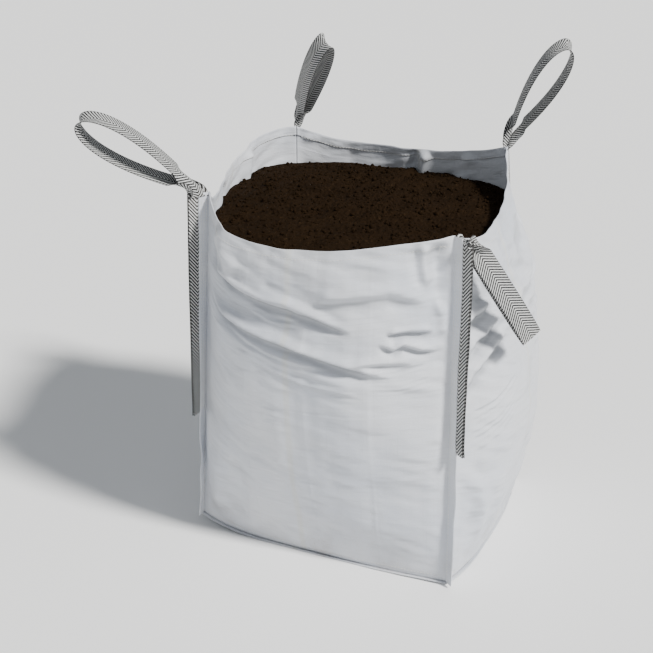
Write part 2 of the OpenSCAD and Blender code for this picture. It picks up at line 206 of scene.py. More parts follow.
# Folds of each side: kind, depth, half width, and points (u, v) from one end to the other.
FOLDS = {
    0: [
        ("step", 0.0105, 0.017, ((-0.93, 0.79), (-0.66, 0.755), (-0.31, 0.73), (0.0, 0.71),
                                 (0.34, 0.67), (0.70, 0.62))),
        ("crease", -0.0045, 0.006, ((-0.55, 0.75), (-0.31, 0.73), (0.0, 0.71), (0.34, 0.67),
                                    (0.68, 0.622))),
        ("step", 0.0095, 0.016, ((-0.98, 0.93), (-0.72, 0.868), (-0.38, 0.842), (-0.12, 0.832),
                                 (0.12, 0.806), (0.40, 0.765))),
        ("crease", -0.005, 0.009, ((-0.05, 0.824), (0.12, 0.806), (0.38, 0.768))),
        ("valley", -0.008, 0.034, ((-0.95, 0.89), (-0.55, 0.80), (-0.15, 0.785), (0.1, 0.755))),
        ("step", 0.006, 0.020, ((0.05, 0.855), (0.35, 0.865), (0.62, 0.868), (0.86, 0.83))),
        ("step", 0.007, 0.011, ((0.60, 0.758), (0.75, 0.757), (0.90, 0.748))),
        ("step", 0.006, 0.010, ((0.55, 0.735), (0.66, 0.71), (0.72, 0.722), (0.82, 0.70),
                                (0.93, 0.69))),
        ("step", 0.005, 0.012, ((0.36, 0.68), (0.58, 0.675), (0.80, 0.66))),
        ("valley", -0.012, 0.030, ((0.91, 1.0), (0.93, 0.92), (0.94, 0.83))),
        ("step", 0.006, 0.014, ((0.80, 1.0), (0.81, 0.93), (0.84, 0.87))),
        ("ridge", 0.007, 0.012, ((0.90, 0.84), (0.95, 0.79), (0.965, 0.73))),
        ("ridge", 0.010, 0.040, ((-0.80, 0.99), (-0.66, 0.93), (-0.58, 0.88))),
        ("valley", -0.008, 0.030, ((-0.93, 0.97), (-0.86, 0.90), (-0.78, 0.85))),
        ("valley", -0.007, 0.045, ((-0.60, 0.30), (-0.62, 0.18), (-0.70, 0.05))),
        ("ridge", 0.006, 0.030, ((-0.80, 0.28), (-0.83, 0.14), (-0.88, 0.03))),
    ],
    1: [
        ("step", 0.009, 0.016, ((-0.97, 0.53), (-0.86, 0.62), (-0.70, 0.69), (-0.50, 0.73))),
        ("step", 0.009, 0.015, ((-0.96, 0.63), (-0.84, 0.71), (-0.62, 0.77), (-0.35, 0.80))),
        ("step", 0.007, 0.014, ((-0.96, 0.73), (-0.82, 0.79), (-0.62, 0.83))),
        ("valley", -0.008, 0.028, ((-0.96, 0.86), (-0.80, 0.84), (-0.55, 0.86), (-0.20, 0.85))),
        ("ridge", 0.008, 0.030, ((-0.60, 0.74), (-0.24, 0.79), (0.30, 0.80), (0.75, 0.86))),
        ("valley", -0.010, 0.040, ((0.96, 0.97), (0.55, 0.88), (0.10, 0.86))),
        ("step", 0.008, 0.018, ((0.97, 0.88), (0.70, 0.80), (0.35, 0.76), (0.0, 0.76))),
        ("step", 0.006, 0.014, ((0.97, 0.72), (0.75, 0.68), (0.45, 0.68))),
        ("ridge", 0.006, 0.030, ((-0.90, 0.35), (-0.70, 0.22), (-0.60, 0.08))),
        ("valley", -0.006, 0.026, ((0.90, 0.30), (0.72, 0.18), (0.68, 0.05))),
    ],
    2: [
        ("step", 0.009, 0.016, ((-0.96, 0.86), (-0.60, 0.78), (-0.15, 0.75), (0.25, 0.73))),
        ("step", 0.008, 0.015, ((0.97, 0.82), (0.62, 0.76), (0.25, 0.79), (-0.10, 0.83))),
        ("valley", -0.012, 0.022, ((-0.20, 1.0), (-0.17, 0.965), (-0.12, 0.91))),
        ("ridge", 0.010, 0.020, ((-0.08, 1.0), (-0.06, 0.965), (-0.02, 0.92))),
        ("valley", -0.009, 0.036, ((-0.62, 1.0), (-0.58, 0.94), (-0.48, 0.88))),
        ("step", 0.006, 0.012, ((-0.95, 0.68), (-0.66, 0.66), (-0.40, 0.64))),
        ("step", 0.006, 0.012, ((0.95, 0.66), (0.70, 0.63), (0.42, 0.63))),
        ("valley", -0.007, 0.030, ((0.70, 0.30), (0.66, 0.16), (0.72, 0.04))),
        ("ridge", 0.006, 0.026, ((-0.66, 0.28), (-0.70, 0.15), (-0.80, 0.03))),
    ],
    3: [
        ("step", 0.009, 0.016, ((-0.95, 0.84), (-0.55, 0.77), (-0.10, 0.76), (0.30, 0.74))),
        ("step", 0.008, 0.014, ((0.96, 0.80), (0.66, 0.75), (0.35, 0.78), (0.0, 0.82))),
        ("valley", -0.010, 0.030, ((-0.45, 1.0), (-0.42, 0.95), (-0.36, 0.89))),
        ("ridge", 0.008, 0.024, ((0.20, 1.0), (0.22, 0.95), (0.26, 0.90))),
        ("step", 0.006, 0.012, ((0.95, 0.64), (0.70, 0.62), (0.45, 0.64))),
        ("ridge", 0.007, 0.030, ((-0.86, 0.30), (-0.76, 0.16), (-0.70, 0.05))),
        ("valley", -0.006, 0.030, ((0.80, 0.32), (0.76, 0.18), (0.70, 0.05))),
    ],
}
# Groups of fine creases: side, number, first and last crease as (u, v) end points, depth.
FINE_CREASES = (
    (0, 9, ((-0.72, 0.735), (0.30, 0.655)), ((-0.45, 0.66), (0.52, 0.575)), 0.0017),
    (0, 6, ((0.45, 0.655), (0.88, 0.665)), ((0.50, 0.59), (0.90, 0.60)), 0.0013),
    (0, 5, ((-0.55, 0.87), (-0.05, 0.85)), ((-0.45, 0.80), (0.02, 0.78)), 0.0012),
    (1, 7, ((-0.93, 0.50), (-0.45, 0.62)), ((-0.90, 0.38), (-0.40, 0.52)), 0.0015),
    (1, 6, ((0.92, 0.66), (0.35, 0.66)), ((0.90, 0.54), (0.30, 0.57)), 0.0014),
    (2, 8, ((-0.80, 0.72), (0.10, 0.68)), ((-0.60, 0.62), (0.20, 0.60)), 0.0015),
    (3, 8, ((-0.70, 0.70), (0.20, 0.68)), ((-0.50, 0.60), (0.30, 0.60)), 0.0015),
)


def mix(a, b, t):
    return a * (1 - t) + b * t


def smooth(t):
    t = np.clip(t, 0, 1)
    return t * t * (3 - 2 * t)


def unit(p):
    return p / np.maximum(np.linalg.norm(p, axis=-1, keepdims=True), 1e-12)


def soft_noise(x, y, seed, wrap=64):
    """Smooth noise from -1 to 1 with one hump for each unit of x and y."""
    lattice = np.random.RandomState(seed).uniform(-1, 1, (wrap, wrap))
    x, y = np.broadcast_arrays(np.asarray(x, float), np.asarray(y, float))
    i, j = np.floor(x).astype(int), np.floor(y).astype(int)
    fx, fy = smooth(x - i), smooth(y - j)
    a, b = lattice[i % wrap, j % wrap], lattice[(i + 1) % wrap, j % wrap]
    c, d = lattice[i % wrap, (j + 1) % wrap], lattice[(i + 1) % wrap, (j + 1) % wrap]
    return mix(mix(a, b, fx), mix(c, d, fx), fy)


class FilledBag:
    """Surface of the filled bag: corner lines, walls with their folds, and seam allowances."""

    def __init__(self, shape, cloth):
        self.shape, self.cloth = shape, cloth
        self.top = SIGN * shape.top_half + UP * shape.corner_height + TOP_SLUMP
        self.base = SIGN * shape.base_half + BASE_SLUMP
        self.sheets, self.creases = {}, {}

    def corner(self, k, v):
        v = np.asarray(v, float)[..., None]
        p = mix(self.base[k], self.top[k], v)
        low = mix(self.base[k][2] + PANEL_FOOT, self.top[k][2], v[..., 0])
        return np.stack([p[..., 0], p[..., 1], low], -1)

    def fin_out(self, k, v):
        a = np.radians(mix(FIN_BASE[k], FIN_TOP[k], np.asarray(v, float)))
        return np.stack([np.cos(a), np.sin(a), 0 * a], -1)

    def fin_side(self, k, v):
        a = np.radians(mix(FIN_BASE[k], FIN_TOP[k], np.asarray(v, float)))
        return np.stack([-np.sin(a), np.cos(a), 0 * a], -1)

    def slot(self, k, v):
        """Half the room between the two seam allowances, taken by webbing above the leg's end."""
        return mix(CLOSED_GAP, 0.0020, smooth((np.asarray(v, float) - LEG_END[k] + 0.012) / 0.012))

    def sway(self, k, v, out):
        """Sideways wave of the seam allowance and of the webbing in it."""
        v = np.asarray(v, float)
        free = smooth(np.asarray(out, float) / 0.034)
        below = 1 - smooth((v - LEG_END[k]) / 0.05)
        wave = soft_noise(v * 7.0 + k * 3.1, k + 0.5, 11) * 0.0035
        ripple = soft_noise(v * 15.0 + k * 5.3, k + 0.5, 12) * 0.0085
        return free * (wave + ripple * (0.25 + 0.75 * below))

    def fin_point(self, k, v, out, side, layer):
        """Point of the seam: out from the corner line, layer to one side of its middle."""
        out = np.broadcast_to(np.asarray(out, float), np.shape(v))
        room = mix(CLOSED_GAP, self.slot(k, v), smooth((out - 0.001) / SEAM_PINCH))
        off = side * (room + layer) + self.sway(k, v, out)
        return (self.corner(k, v) + self.fin_out(k, v) * out[..., None]
                + self.fin_side(k, v) * off[..., None])

    def wall(self, i, u, v):
        """Wall of side i without folds. u runs from -1 to 1 between its corners, v from 0 to 1."""
        k = (i + 1) % 4
        u, v = np.broadcast_arrays(np.asarray(u, float), np.asarray(v, float))
        t = self.cloth.thickness
        a = self.corner(i, v) + self.fin_side(i, v) * (CLOSED_GAP + t)
        b = self.corner(k, v) - self.fin_side(k, v) * (CLOSED_GAP + t)
        w = (u + 1) / 2
        b0, b1, b2 = BULGE[i]
        bulge = self.shape.side_bulge * (b0 * (1 - v) * (1 - 2 * v) + b1 * 4 * v * (1 - v)
                                         + b2 * v * (2 * v - 1))
        push = u - PEAK[i] * (1 - u * u)
        p = mix(a, b, w[..., None]) + OUTWARD[i] * (bulge * (1 - np.abs(push) ** 3))[..., None]
        dip = u - DIP_PEAK[i] * (1 - u * u)
        rim = mix(self.top[i][2], self.top[k][2], w) - RIM_DIP[i] * (1 - np.abs(dip) ** 2.6)
        p[..., 2] = mix(self.base_rise(i, u) + PANEL_FOOT, rim, v)
        return p

    def base_rise(self, i, u):
        k = (i + 1) % 4
        return mix(self.base[i][2], self.base[k][2], (u + 1) / 2) * np.abs(u) ** 4

    def relief(self, i, u, v):
        """How far folds, slump and packing creases move the cloth outwards."""
        height, half = PANEL_HEIGHT, PANEL_HALF
        x, y = u * half, v * height
        total = 0.0042 * soft_noise(x / 0.19 + 7 * i, y / 0.15 + 3, 20 + i)
        total += 0.0020 * soft_noise(x / 0.085 + 5 * i, y / 0.06, 30 + i)
        upper = smooth((v - 0.5) / 0.25)
        total += (0.0010 + 0.0014 * upper) * soft_noise(x / 0.11 + 2, (y + 0.25 * x) / 0.022, 40 + i)
        total += 0.0004 * soft_noise(x / 0.05, y / 0.009, 50 + i)
        total += 0.0008 * soft_noise(x / 0.030 + 9, y / 0.25, 60 + i)
        for kind, depth, width, points in FOLDS[i]:
            total += self.fold(kind, depth, width, points, x, y, half, height)
        for side, count, first, last, depth in FINE_CREASES:
            if side != i:
                continue
            for n in range(count):
                t = n / (count - 1)
                jog = 0.010 * math.sin(n * 2.4)
                ends = [(mix(f[0], g[0], t) + jog, mix(f[1], g[1], t)) for f, g in zip(first, last)]
                middle = ((ends[0][0] + ends[1][0]) / 2, (ends[0][1] + ends[1][1]) / 2 - 0.012)
                line = (ends[0], middle, ends[1])
                total += self.fold("step", depth * (0.6 + 0.4 * math.cos(n * 1.7)), 0.0055, line,
                                   x, y, half, height)
        # Packing creases: sharp lines left by the folding of the empty bag.
        for at in (-0.46, 0.02, 0.50):
            line = x - (at + 0.004 * np.sin(y * 9)) * half
            total += 0.0009 * np.exp(-(line / 0.0025) ** 2) * (0.4 + 0.6 * smooth(0.8 - v))
        for level in (0.28, 0.52):
            line = y - level * height - 0.004 * np.sin(x * 7)
            total -= 0.0007 * np.exp(-(line / 0.0025) ** 2)
        return total * self.cloth.fold_depth

    @staticmethod
    def fold(kind, depth, width, points, x, y, half, height):
        pts = np.array([(px * half, py * height) for px, py in points])
        seg = np.linalg.norm(np.diff(pts, axis=0), axis=1)
        run = np.concatenate([[0], np.cumsum(seg)])
        near = np.full(np.shape(x), 9.0)
        signed, along = np.zeros(np.shape(x)), np.zeros(np.shape(x))
        for n in range(len(seg)):
            d = (pts[n + 1] - pts[n]) / seg[n]
            rx, ry = x - pts[n][0], y - pts[n][1]
            t = np.clip(rx * d[0] + ry * d[1], 0, seg[n])
            ex, ey = rx - t * d[0], ry - t * d[1]
            dist = np.hypot(ex, ey)
            side = np.where(d[0] * ey - d[1] * ex >= 0, 1.0, -1.0)
            hit = dist < near
            near = np.where(hit, dist, near)
            signed = np.where(hit, dist * side, signed)
            along = np.where(hit, run[n] + t, along)
        share = along / run[-1]
        ends = smooth(share / 0.22) * smooth((1 - share) / 0.22)
        w = width * (0.6 + 0.4 * ends)
        if kind == "step":
            q = signed / w
            shape = q * np.exp(0.5 - q * q / 2) * np.exp(-(q * 0.35) ** 2)
        else:
            shape = np.exp(-(near / w) ** 2)
        return depth * shape * ends

    def sheet(self, i):
        """Grid of the outer face of side i: u and v values, points and outward normals."""
        if i in self.sheets:
            return self.sheets[i]
        fine = np.linspace(-1, 1, 181)
        u = np.sign(fine) * (1 - (1 - np.abs(fine)) ** 1.12)
        v = np.concatenate([np.linspace(0, 0.45, 80)[:-1], np.linspace(0.45, 1, 150)])
        uu, vv = np.meshgrid(u, v)
        p = self.wall(i, uu, vv)
        n = self.normals(p, i)
        edge = smooth((1 - np.abs(uu)) / 0.09) * smooth(vv / 0.03)
        relief = self.relief(i, uu, vv) * edge
        p = p + n * relief[..., None]
        # Painted shade: a mask that darkens the cloth's colour in its folds and under them.
        self.creases[i] = self.fold_shade_mask(relief)
        # The mouth's edge wanders a little up and down.
        lift = 0.0022 * soft_noise(uu * 5 + i * 2, 0.5, 70 + i) * smooth((vv - 0.9) / 0.1)
        p[..., 2] += lift * smooth((1 - np.abs(uu)) / 0.1)
        self.sheets[i] = (u, v, p, self.normals(p, i))
        return self.sheets[i]

    @staticmethod
    def fold_shade_mask(relief):
        """Painted shade from 0 to 1: how far each point lies below the cloth above it and around it, and
        how far the cloth there faces down.
        """
        around = relief
        for reach in (9, 5, 3):
            padded = np.pad(around, ((reach, reach), (0, 0)), mode="edge")
            around = np.mean([padded[n:n + len(relief)] for n in range(2 * reach + 1)], 0)
        below = np.clip((around - relief) / 0.0070 - 0.16, 0, 1)
        under = np.clip(np.gradient(relief, axis=0) / 0.0012 - 0.30, 0, 1)
        return below * 0.75 + under * 0.5

    @staticmethod
    def normals(p, i):
        du = np.gradient(p, axis=1)
        dv = np.gradient(p, axis=0)
        n = unit(np.cross(du, dv))
        return n * np.where((n @ OUTWARD[i])[..., None] < -0.2, -1.0, 1.0)

    def on_sheet(self, i, u, v):
        """Points and normals of the folded sheet at given u and v."""
        us, vs, p, n = self.sheet(i)
        u, v = np.broadcast_arrays(np.asarray(u, float), np.asarray(v, float))
        c = np.clip(np.searchsorted(us, u) - 1, 0, len(us) - 2)
        r = np.clip(np.searchsorted(vs, v) - 1, 0, len(vs) - 2)
        fu = np.clip((u - us[c]) / (us[c + 1] - us[c]), 0, 1)[..., None]
        fv = np.clip((v - vs[r]) / (vs[r + 1] - vs[r]), 0, 1)[..., None]
        out = []
        for g in (p, n):
            out.append(mix(mix(g[r, c], g[r, c + 1], fu), mix(g[r + 1, c], g[r + 1, c + 1], fu), fv))
        return out[0], unit(out[1])


# ---------------------------------------------------------------- making meshes

class MeshMaker:
    """Collects grids of points with cloth coordinates, and makes one object of them."""

    def __init__(self):
        self.points, self.faces, self.flat, self.crease = [], [], [], []

    def grid(self, points, across, along, flip=False, crease=None):
        rows, cols = points.shape[:2]
        start = sum(len(p) for p in self.points)
        self.points.append(points.reshape(-1, 3))
        across, along = np.broadcast_arrays(across, along)
        self.flat.append(np.stack([across, along], -1).reshape(-1, 2))
        self.crease.append(np.zeros(rows * cols) if crease is None else crease.ravel())
        r, c = np.meshgrid(np.arange(rows - 1), np.arange(cols - 1), indexing="ij")
        a = (start + r * cols + c).ravel()
        quad = np.stack([a, a + 1, a + cols + 1, a + cols], -1)
        self.faces.append(quad[:, ::-1] if flip else quad)

    def loose(self, points, faces, flat=None):
        start = sum(len(p) for p in self.points)
        self.points.append(points)
        self.flat.append(points[:, :2] if flat is None else flat)
        self.crease.append(np.zeros(len(points)))
        self.faces.append(np.asarray(faces) + start)

    def build(self, name, weld=0.0, shade=True):
        mesh = bpy.data.meshes.new(name)
        points = np.concatenate(self.points)
        flat = np.concatenate(self.flat)
        faces = [f for block in self.faces for f in block.tolist()]
        mesh.from_pydata(points.tolist(), [], faces)
        layer = mesh.uv_layers.new(name="cloth")
        index = np.empty(len(mesh.loops), np.int32)
        mesh.loops.foreach_get("vertex_index", index)
        layer.data.foreach_set("uv", flat[index].astype(np.float32).ravel())
        # The crease attribute carries painted shade: the darkening of the cloth in its folds and under
        # them.
        mask = mesh.attributes.new("crease", "FLOAT", "POINT")
        mask.data.foreach_set("value", np.concatenate(self.crease).astype(np.float32))
        if weld:
            bm = bmesh.new()
            bm.from_mesh(mesh)
            bmesh.ops.remove_doubles(bm, verts=bm.verts, dist=weld)
            bm.to_mesh(mesh)
            bm.free()
        if shade:
            mesh.polygons.foreach_set("use_smooth", [True] * len(mesh.polygons))
        mesh.validate()
        mesh.update()
        obj = bpy.data.objects.new(name, mesh)
        bpy.context.scene.collection.objects.link(obj)
        return obj


def thicken(obj, thickness, offset=-1.0):
    """Gives a sheet its thickness and applies it."""
    mod = obj.modifiers.new("Thickness", "SOLIDIFY")
    mod.thickness = thickness
    mod.offset = offset
    mod.use_even_offset = False
    for other in bpy.context.selected_objects:
        other.select_set(False)
    bpy.context.view_layer.objects.active = obj
    obj.select_set(True)
    bpy.ops.object.modifier_apply(modifier=mod.name)
    obj.data.polygons.foreach_set("use_smooth", [True] * len(obj.data.polygons))
    return obj


def place(obj, body, material, slot, *nodes):
    """Puts a finished piece on its body, if it rides on one, in place of its CAD nodes."""
    obj.data.materials.clear()
    obj.data.materials.append(material)
    if body:
        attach(obj, body)
    if nodes:
        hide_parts(*nodes)
    return obj


# ---------------------------------------------------------------- materials

class NodeBoard:
    """Short way of adding and joining shader nodes."""

    def __init__(self, tree):
        self.tree = tree

    def add(self, kind, label="", **settings):
        node = self.tree.nodes.new(kind)
        node.label = label
        for key, value in settings.items():
            setattr(node, key, value)
        return node

    def feed(self, socket, value):
        if isinstance(value, bpy.types.NodeSocket):
            self.tree.links.new(value, socket)
        else:
            socket.default_value = value

    def sum(self, operation, a, b=None, c=None):
        node = self.add("ShaderNodeMath", operation=operation)
        for n, value in enumerate((a, b, c)):
            if value is not None:
                self.feed(node.inputs[n], value)
        return node.outputs[0]

    def blend(self, share, a, b, mode="MIX"):
        node = self.add("ShaderNodeMix", data_type="RGBA", blend_type=mode)
        self.feed(node.inputs["Factor"], share)
        for socket, value in ((node.inputs[6], a), (node.inputs[7], b)):
            self.feed(socket, (*value, 1.0) if isinstance(value, tuple) and len(value) == 3 else value)
        return node.outputs[2]

    def ramp(self, value, low, high):
        node = self.add("ShaderNodeMapRange", clamp=True, interpolation_type="SMOOTHSTEP")
        self.feed(node.inputs["Value"], value)
        node.inputs["From Min"].default_value = low
        node.inputs["From Max"].default_value = high
        return node.outputs["Result"]

    def noise(self, vector, scale, detail=3.0, roughness=0.55):
        node = self.add("ShaderNodeTexNoise")
        self.feed(node.inputs["Vector"], vector)
        node.inputs["Scale"].default_value = scale
        node.inputs["Detail"].default_value = detail
        node.inputs["Roughness"].default_value = roughness
        return node.outputs["Fac"]

    def stretch(self, vector, x, y, z=1.0):
        node = self.add("ShaderNodeMapping")
        self.feed(node.inputs["Vector"], vector)
        node.inputs["Scale"].default_value = (x, y, z)
        return node.outputs["Vector"]

    def bump(self, height, strength, distance, normal=None):
        node = self.add("ShaderNodeBump")
        node.inputs["Strength"].default_value = strength
        node.inputs["Distance"].default_value = distance
        self.feed(node.inputs["Height"], height)
        if normal is not None:
            self.feed(node.inputs["Normal"], normal)
        return node.outputs["Normal"]


def new_group(name, inputs, outputs):
    """An empty shader node group with named sockets. Inputs are (name, kind, default)."""
    group = bpy.data.node_groups.new(name, "ShaderNodeTree")
    for label, kind, default in inputs:
        socket = group.interface.new_socket(name=label, in_out="INPUT", socket_type=kind)
        if default is not None:
            socket.default_value = default
    for label, kind in outputs:
        group.interface.new_socket(name=label, in_out="OUTPUT", socket_type=kind)
    board = NodeBoard(group)
    return group, board, board.add("NodeGroupInput"), board.add("NodeGroupOutput")


def place_group(board, group, **values):
    """Adds a group to a material and sets its inputs by name."""
    node = board.add("ShaderNodeGroup")
    node.node_tree = group
    for label, value in values.items():
        board.feed(node.inputs[label.replace("_", " ")], value)
    return node


def weave_group():
    """Plain weave of flat tapes, one over and one under."""
    group, b, given, out = new_group(
        "Tape Weave",
        [("Cloth", "NodeSocketVector", None), ("Tape Width", "NodeSocketFloat", 0.0026)],
        [("Height", "NodeSocketFloat"), ("Gap", "NodeSocketFloat")])
    split = b.add("ShaderNodeSeparateXYZ")
    b.feed(split.inputs[0], given.outputs["Cloth"])
    x = b.sum("DIVIDE", split.outputs["X"], given.outputs["Tape Width"])
    y = b.sum("DIVIDE", split.outputs["Y"], given.outputs["Tape Width"])
    px = b.sum("ABSOLUTE", b.sum("SINE", b.sum("MULTIPLY", x, math.pi)))
    py = b.sum("ABSOLUTE", b.sum("SINE", b.sum("MULTIPLY", y, math.pi)))
    parity = b.sum("MODULO", b.sum("ADD", b.sum("FLOOR", x), b.sum("FLOOR", y)), 2.0)
    parity = b.sum("ABSOLUTE", parity)
    over = b.sum("MULTIPLY", b.sum("POWER", px, 0.35), b.sum("ADD", b.sum("MULTIPLY", py, 0.5), 0.5))
    under = b.sum("MULTIPLY", b.sum("POWER", py, 0.35), b.sum("ADD", b.sum("MULTIPLY", px, 0.5), 0.5))
    height = b.sum("ADD", b.sum("MULTIPLY", over, parity),
                   b.sum("MULTIPLY", under, b.sum("SUBTRACT", 1.0, parity)))
    b.feed(out.inputs["Height"], height)
    b.feed(out.inputs["Gap"], b.ramp(height, 0.45, 0.15))
    return group


def herringbone_group():
    """Webbing woven in chevrons, with a dark edge yarn. Cloth X is measured from the middle."""
    group, b, given, out = new_group(
        "Herringbone Webbing",
        [("Cloth", "NodeSocketVector", None), ("Pitch", "NodeSocketFloat", 0.0094),
         ("Half Width", "NodeSocketFloat", 0.0325)],
        [("Dark", "NodeSocketFloat"), ("Height", "NodeSocketFloat")])
    split = b.add("ShaderNodeSeparateXYZ")
    b.feed(split.inputs[0], given.outputs["Cloth"])
    x, y = split.outputs["X"], split.outputs["Y"]
    away = b.sum("ABSOLUTE", x)
    slant = b.sum("ADD", y, b.sum("MULTIPLY", away, 0.85))
    phase = b.sum("FRACT", b.sum("DIVIDE", slant, given.outputs["Pitch"]))
    stripe = b.sum("ABSOLUTE", b.sum("SUBTRACT", phase, 0.5))
    yarn = b.sum("SINE", b.sum("MULTIPLY", x, 2 * math.pi / 0.0021))
    pick = b.sum("SINE", b.sum("MULTIPLY", y, 2 * math.pi / 0.0024))
    frayed = b.sum("MULTIPLY", b.sum("MULTIPLY", yarn, pick), 0.10)
    dark = b.ramp(b.sum("ADD", stripe, frayed), 0.37, 0.27)
    edge = b.sum("DIVIDE", away, given.outputs["Half Width"])
    selvage = b.ramp(edge, 0.955, 0.975)
    dark = b.sum("MAXIMUM", dark, selvage)
    rib = b.sum("ADD", b.sum("MULTIPLY", yarn, 0.30), b.sum("MULTIPLY", pick, 0.18))
    height = b.sum("ADD", b.sum("MULTIPLY", b.sum("SUBTRACT", 1.0, dark), 0.5), rib)
    b.feed(out.inputs["Dark"], dark)
    b.feed(out.inputs["Height"], height)
    return group


def dust_group():
    """Dust and handling marks: more near the ground and near the mouth, in patches."""
    group, b, given, out = new_group(
        "Site Dust",
        [("Position", "NodeSocketVector", None), ("Amount", "NodeSocketFloat", 1.0),
         ("Mouth Height", "NodeSocketFloat", 1.03)],
        [("Mask", "NodeSocketFloat"), ("Mottle", "NodeSocketFloat")])
    where = given.outputs["Position"]
    split = b.add("ShaderNodeSeparateXYZ")
    b.feed(split.inputs[0], where)
    low = b.ramp(split.outputs["Z"], 0.22, 0.0)
    high = b.ramp(b.sum("ABSOLUTE", b.sum("SUBTRACT", split.outputs["Z"],
                                          given.outputs["Mouth Height"])), 0.10, 0.0)
    patch = b.ramp(b.noise(where, 5.0, 5.0, 0.65), 0.45, 0.75)
    specks = b.ramp(b.noise(where, 160.0, 2.0, 0.6), 0.66, 0.74)
    mask = b.sum("ADD", b.sum("MULTIPLY", low, 0.55), b.sum("MULTIPLY", high, 0.22))
    mask = b.sum("MULTIPLY", b.sum("ADD", mask, 0.10), b.sum("ADD", patch, 0.25))
    mask = b.sum("ADD", mask, b.sum("MULTIPLY", specks, b.sum("MULTIPLY", mask, 1.2)))
    b.feed(out.inputs["Mask"], b.sum("MINIMUM", b.sum("MULTIPLY", mask, given.outputs["Amount"]), 1.0))
    b.feed(out.inputs["Mottle"], b.noise(where, 2.6, 4.0, 0.6))
    return group


class Finishes:
    """The bag's materials, made once and shared."""

    made = {}

    @classmethod
    def get(cls, name):
        if not cls.made:
            groups = {"weave": weave_group(), "herringbone": herringbone_group(),
                      "dust": dust_group()}
            scene = bpy.context.scene
            cls.made = {
                "cloth": woven_cloth(groups, scene.bulk_bag_cloth),
                "webbing": lifting_webbing(groups, scene.bulk_bag_webbing, scene.bulk_bag_cloth),
                "thread": sewing_thread(groups, scene.bulk_bag_thread, scene.bulk_bag_cloth),
                "soil": damp_soil(scene.bulk_bag_soil),
            }
        return cls.made[name]


def blank_material(name):
    material = bpy.data.materials.new(name)
    material.use_nodes = True
    board = NodeBoard(material.node_tree)
    shader = material.node_tree.nodes["Principled BSDF"]
    return material, board, shader


def woven_cloth(groups, cloth):
    material, b, shader = blank_material("woven_cloth")
    flat = b.add("ShaderNodeUVMap", uv_map="cloth").outputs["UV"]
    where = b.add("ShaderNodeTexCoord").outputs["Object"]
    weave = place_group(b, groups["weave"], Cloth=flat, Tape_Width=cloth.tape)
    dust = place_group(b, groups["dust"], Position=where, Amount=0.8)
    # Slub: some tapes run thicker and show as fine lines both ways.
    level = b.noise(b.stretch(flat, 4.0, 150.0), 1.0, 3.0, 0.75)
    plumb = b.noise(b.stretch(flat, 150.0, 3.0), 1.0, 3.0, 0.75)
    slub = b.sum("ADD", b.ramp(level, 0.50, 0.72), b.sum("MULTIPLY", b.ramp(plumb, 0.55, 0.75), 0.7))
    base = tuple(cloth.colour)
    bluish = tuple(c * f for c, f in zip(base, (0.87, 0.90, 0.95)))
    cream = tuple(c * f for c, f in zip(base, (0.93, 0.91, 0.80)))
    colour = b.blend(b.ramp(dust.outputs["Mottle"], 0.35, 0.72), base, bluish)
    split = b.add("ShaderNodeSeparateXYZ")
    b.feed(split.inputs[0], flat)
    band = b.ramp(b.sum("ABSOLUTE", b.sum("ADD", split.outputs["X"], 0.052)), 0.016, 0.004)
    colour = b.blend(b.sum("MULTIPLY", band, 0.45), colour, cream)
    colour = b.blend(b.sum("MULTIPLY", slub, 0.26), colour, (0.46, 0.48, 0.51))
    # Painted shade: the cloth is darkened to blue grey in its folds and under them, in patches that
    # follow the mottle.
    crease = b.add("ShaderNodeAttribute", attribute_name="crease").outputs["Fac"]
    painted_fold_shade = b.sum("MULTIPLY", crease, b.ramp(dust.outputs["Mottle"], 0.0, 0.55))
    colour = b.blend(b.sum("MULTIPLY", painted_fold_shade, 0.75), colour, (0.30, 0.315, 0.34))
    colour = b.blend(b.sum("MULTIPLY", weave.outputs["Gap"], 0.22), colour, (0.34, 0.35, 0.37))
    colour = b.blend(b.sum("MULTIPLY", dust.outputs["Mask"], 0.75), colour, tuple(cloth.grime))
    b.feed(shader.inputs["Base Color"], colour)
    b.feed(shader.inputs["Roughness"], b.sum("ADD", b.sum("MULTIPLY", dust.outputs["Mask"], 0.25), 0.52))
    shader.inputs["Sheen Weight"].default_value = 0.12
    shader.inputs["Sheen Roughness"].default_value = 0.45
    shader.inputs["Specular IOR Level"].default_value = 0.38
    wrinkle = b.noise(b.stretch(flat, 26.0, 60.0), 1.0, 5.0, 0.62)
    rough = b.bump(wrinkle, 0.42, 0.0040)
    lines = b.bump(slub, 0.45, 0.0007, rough)
    b.feed(shader.inputs["Normal"], b.bump(weave.outputs["Height"], 0.35, 0.0005, lines))
    return material


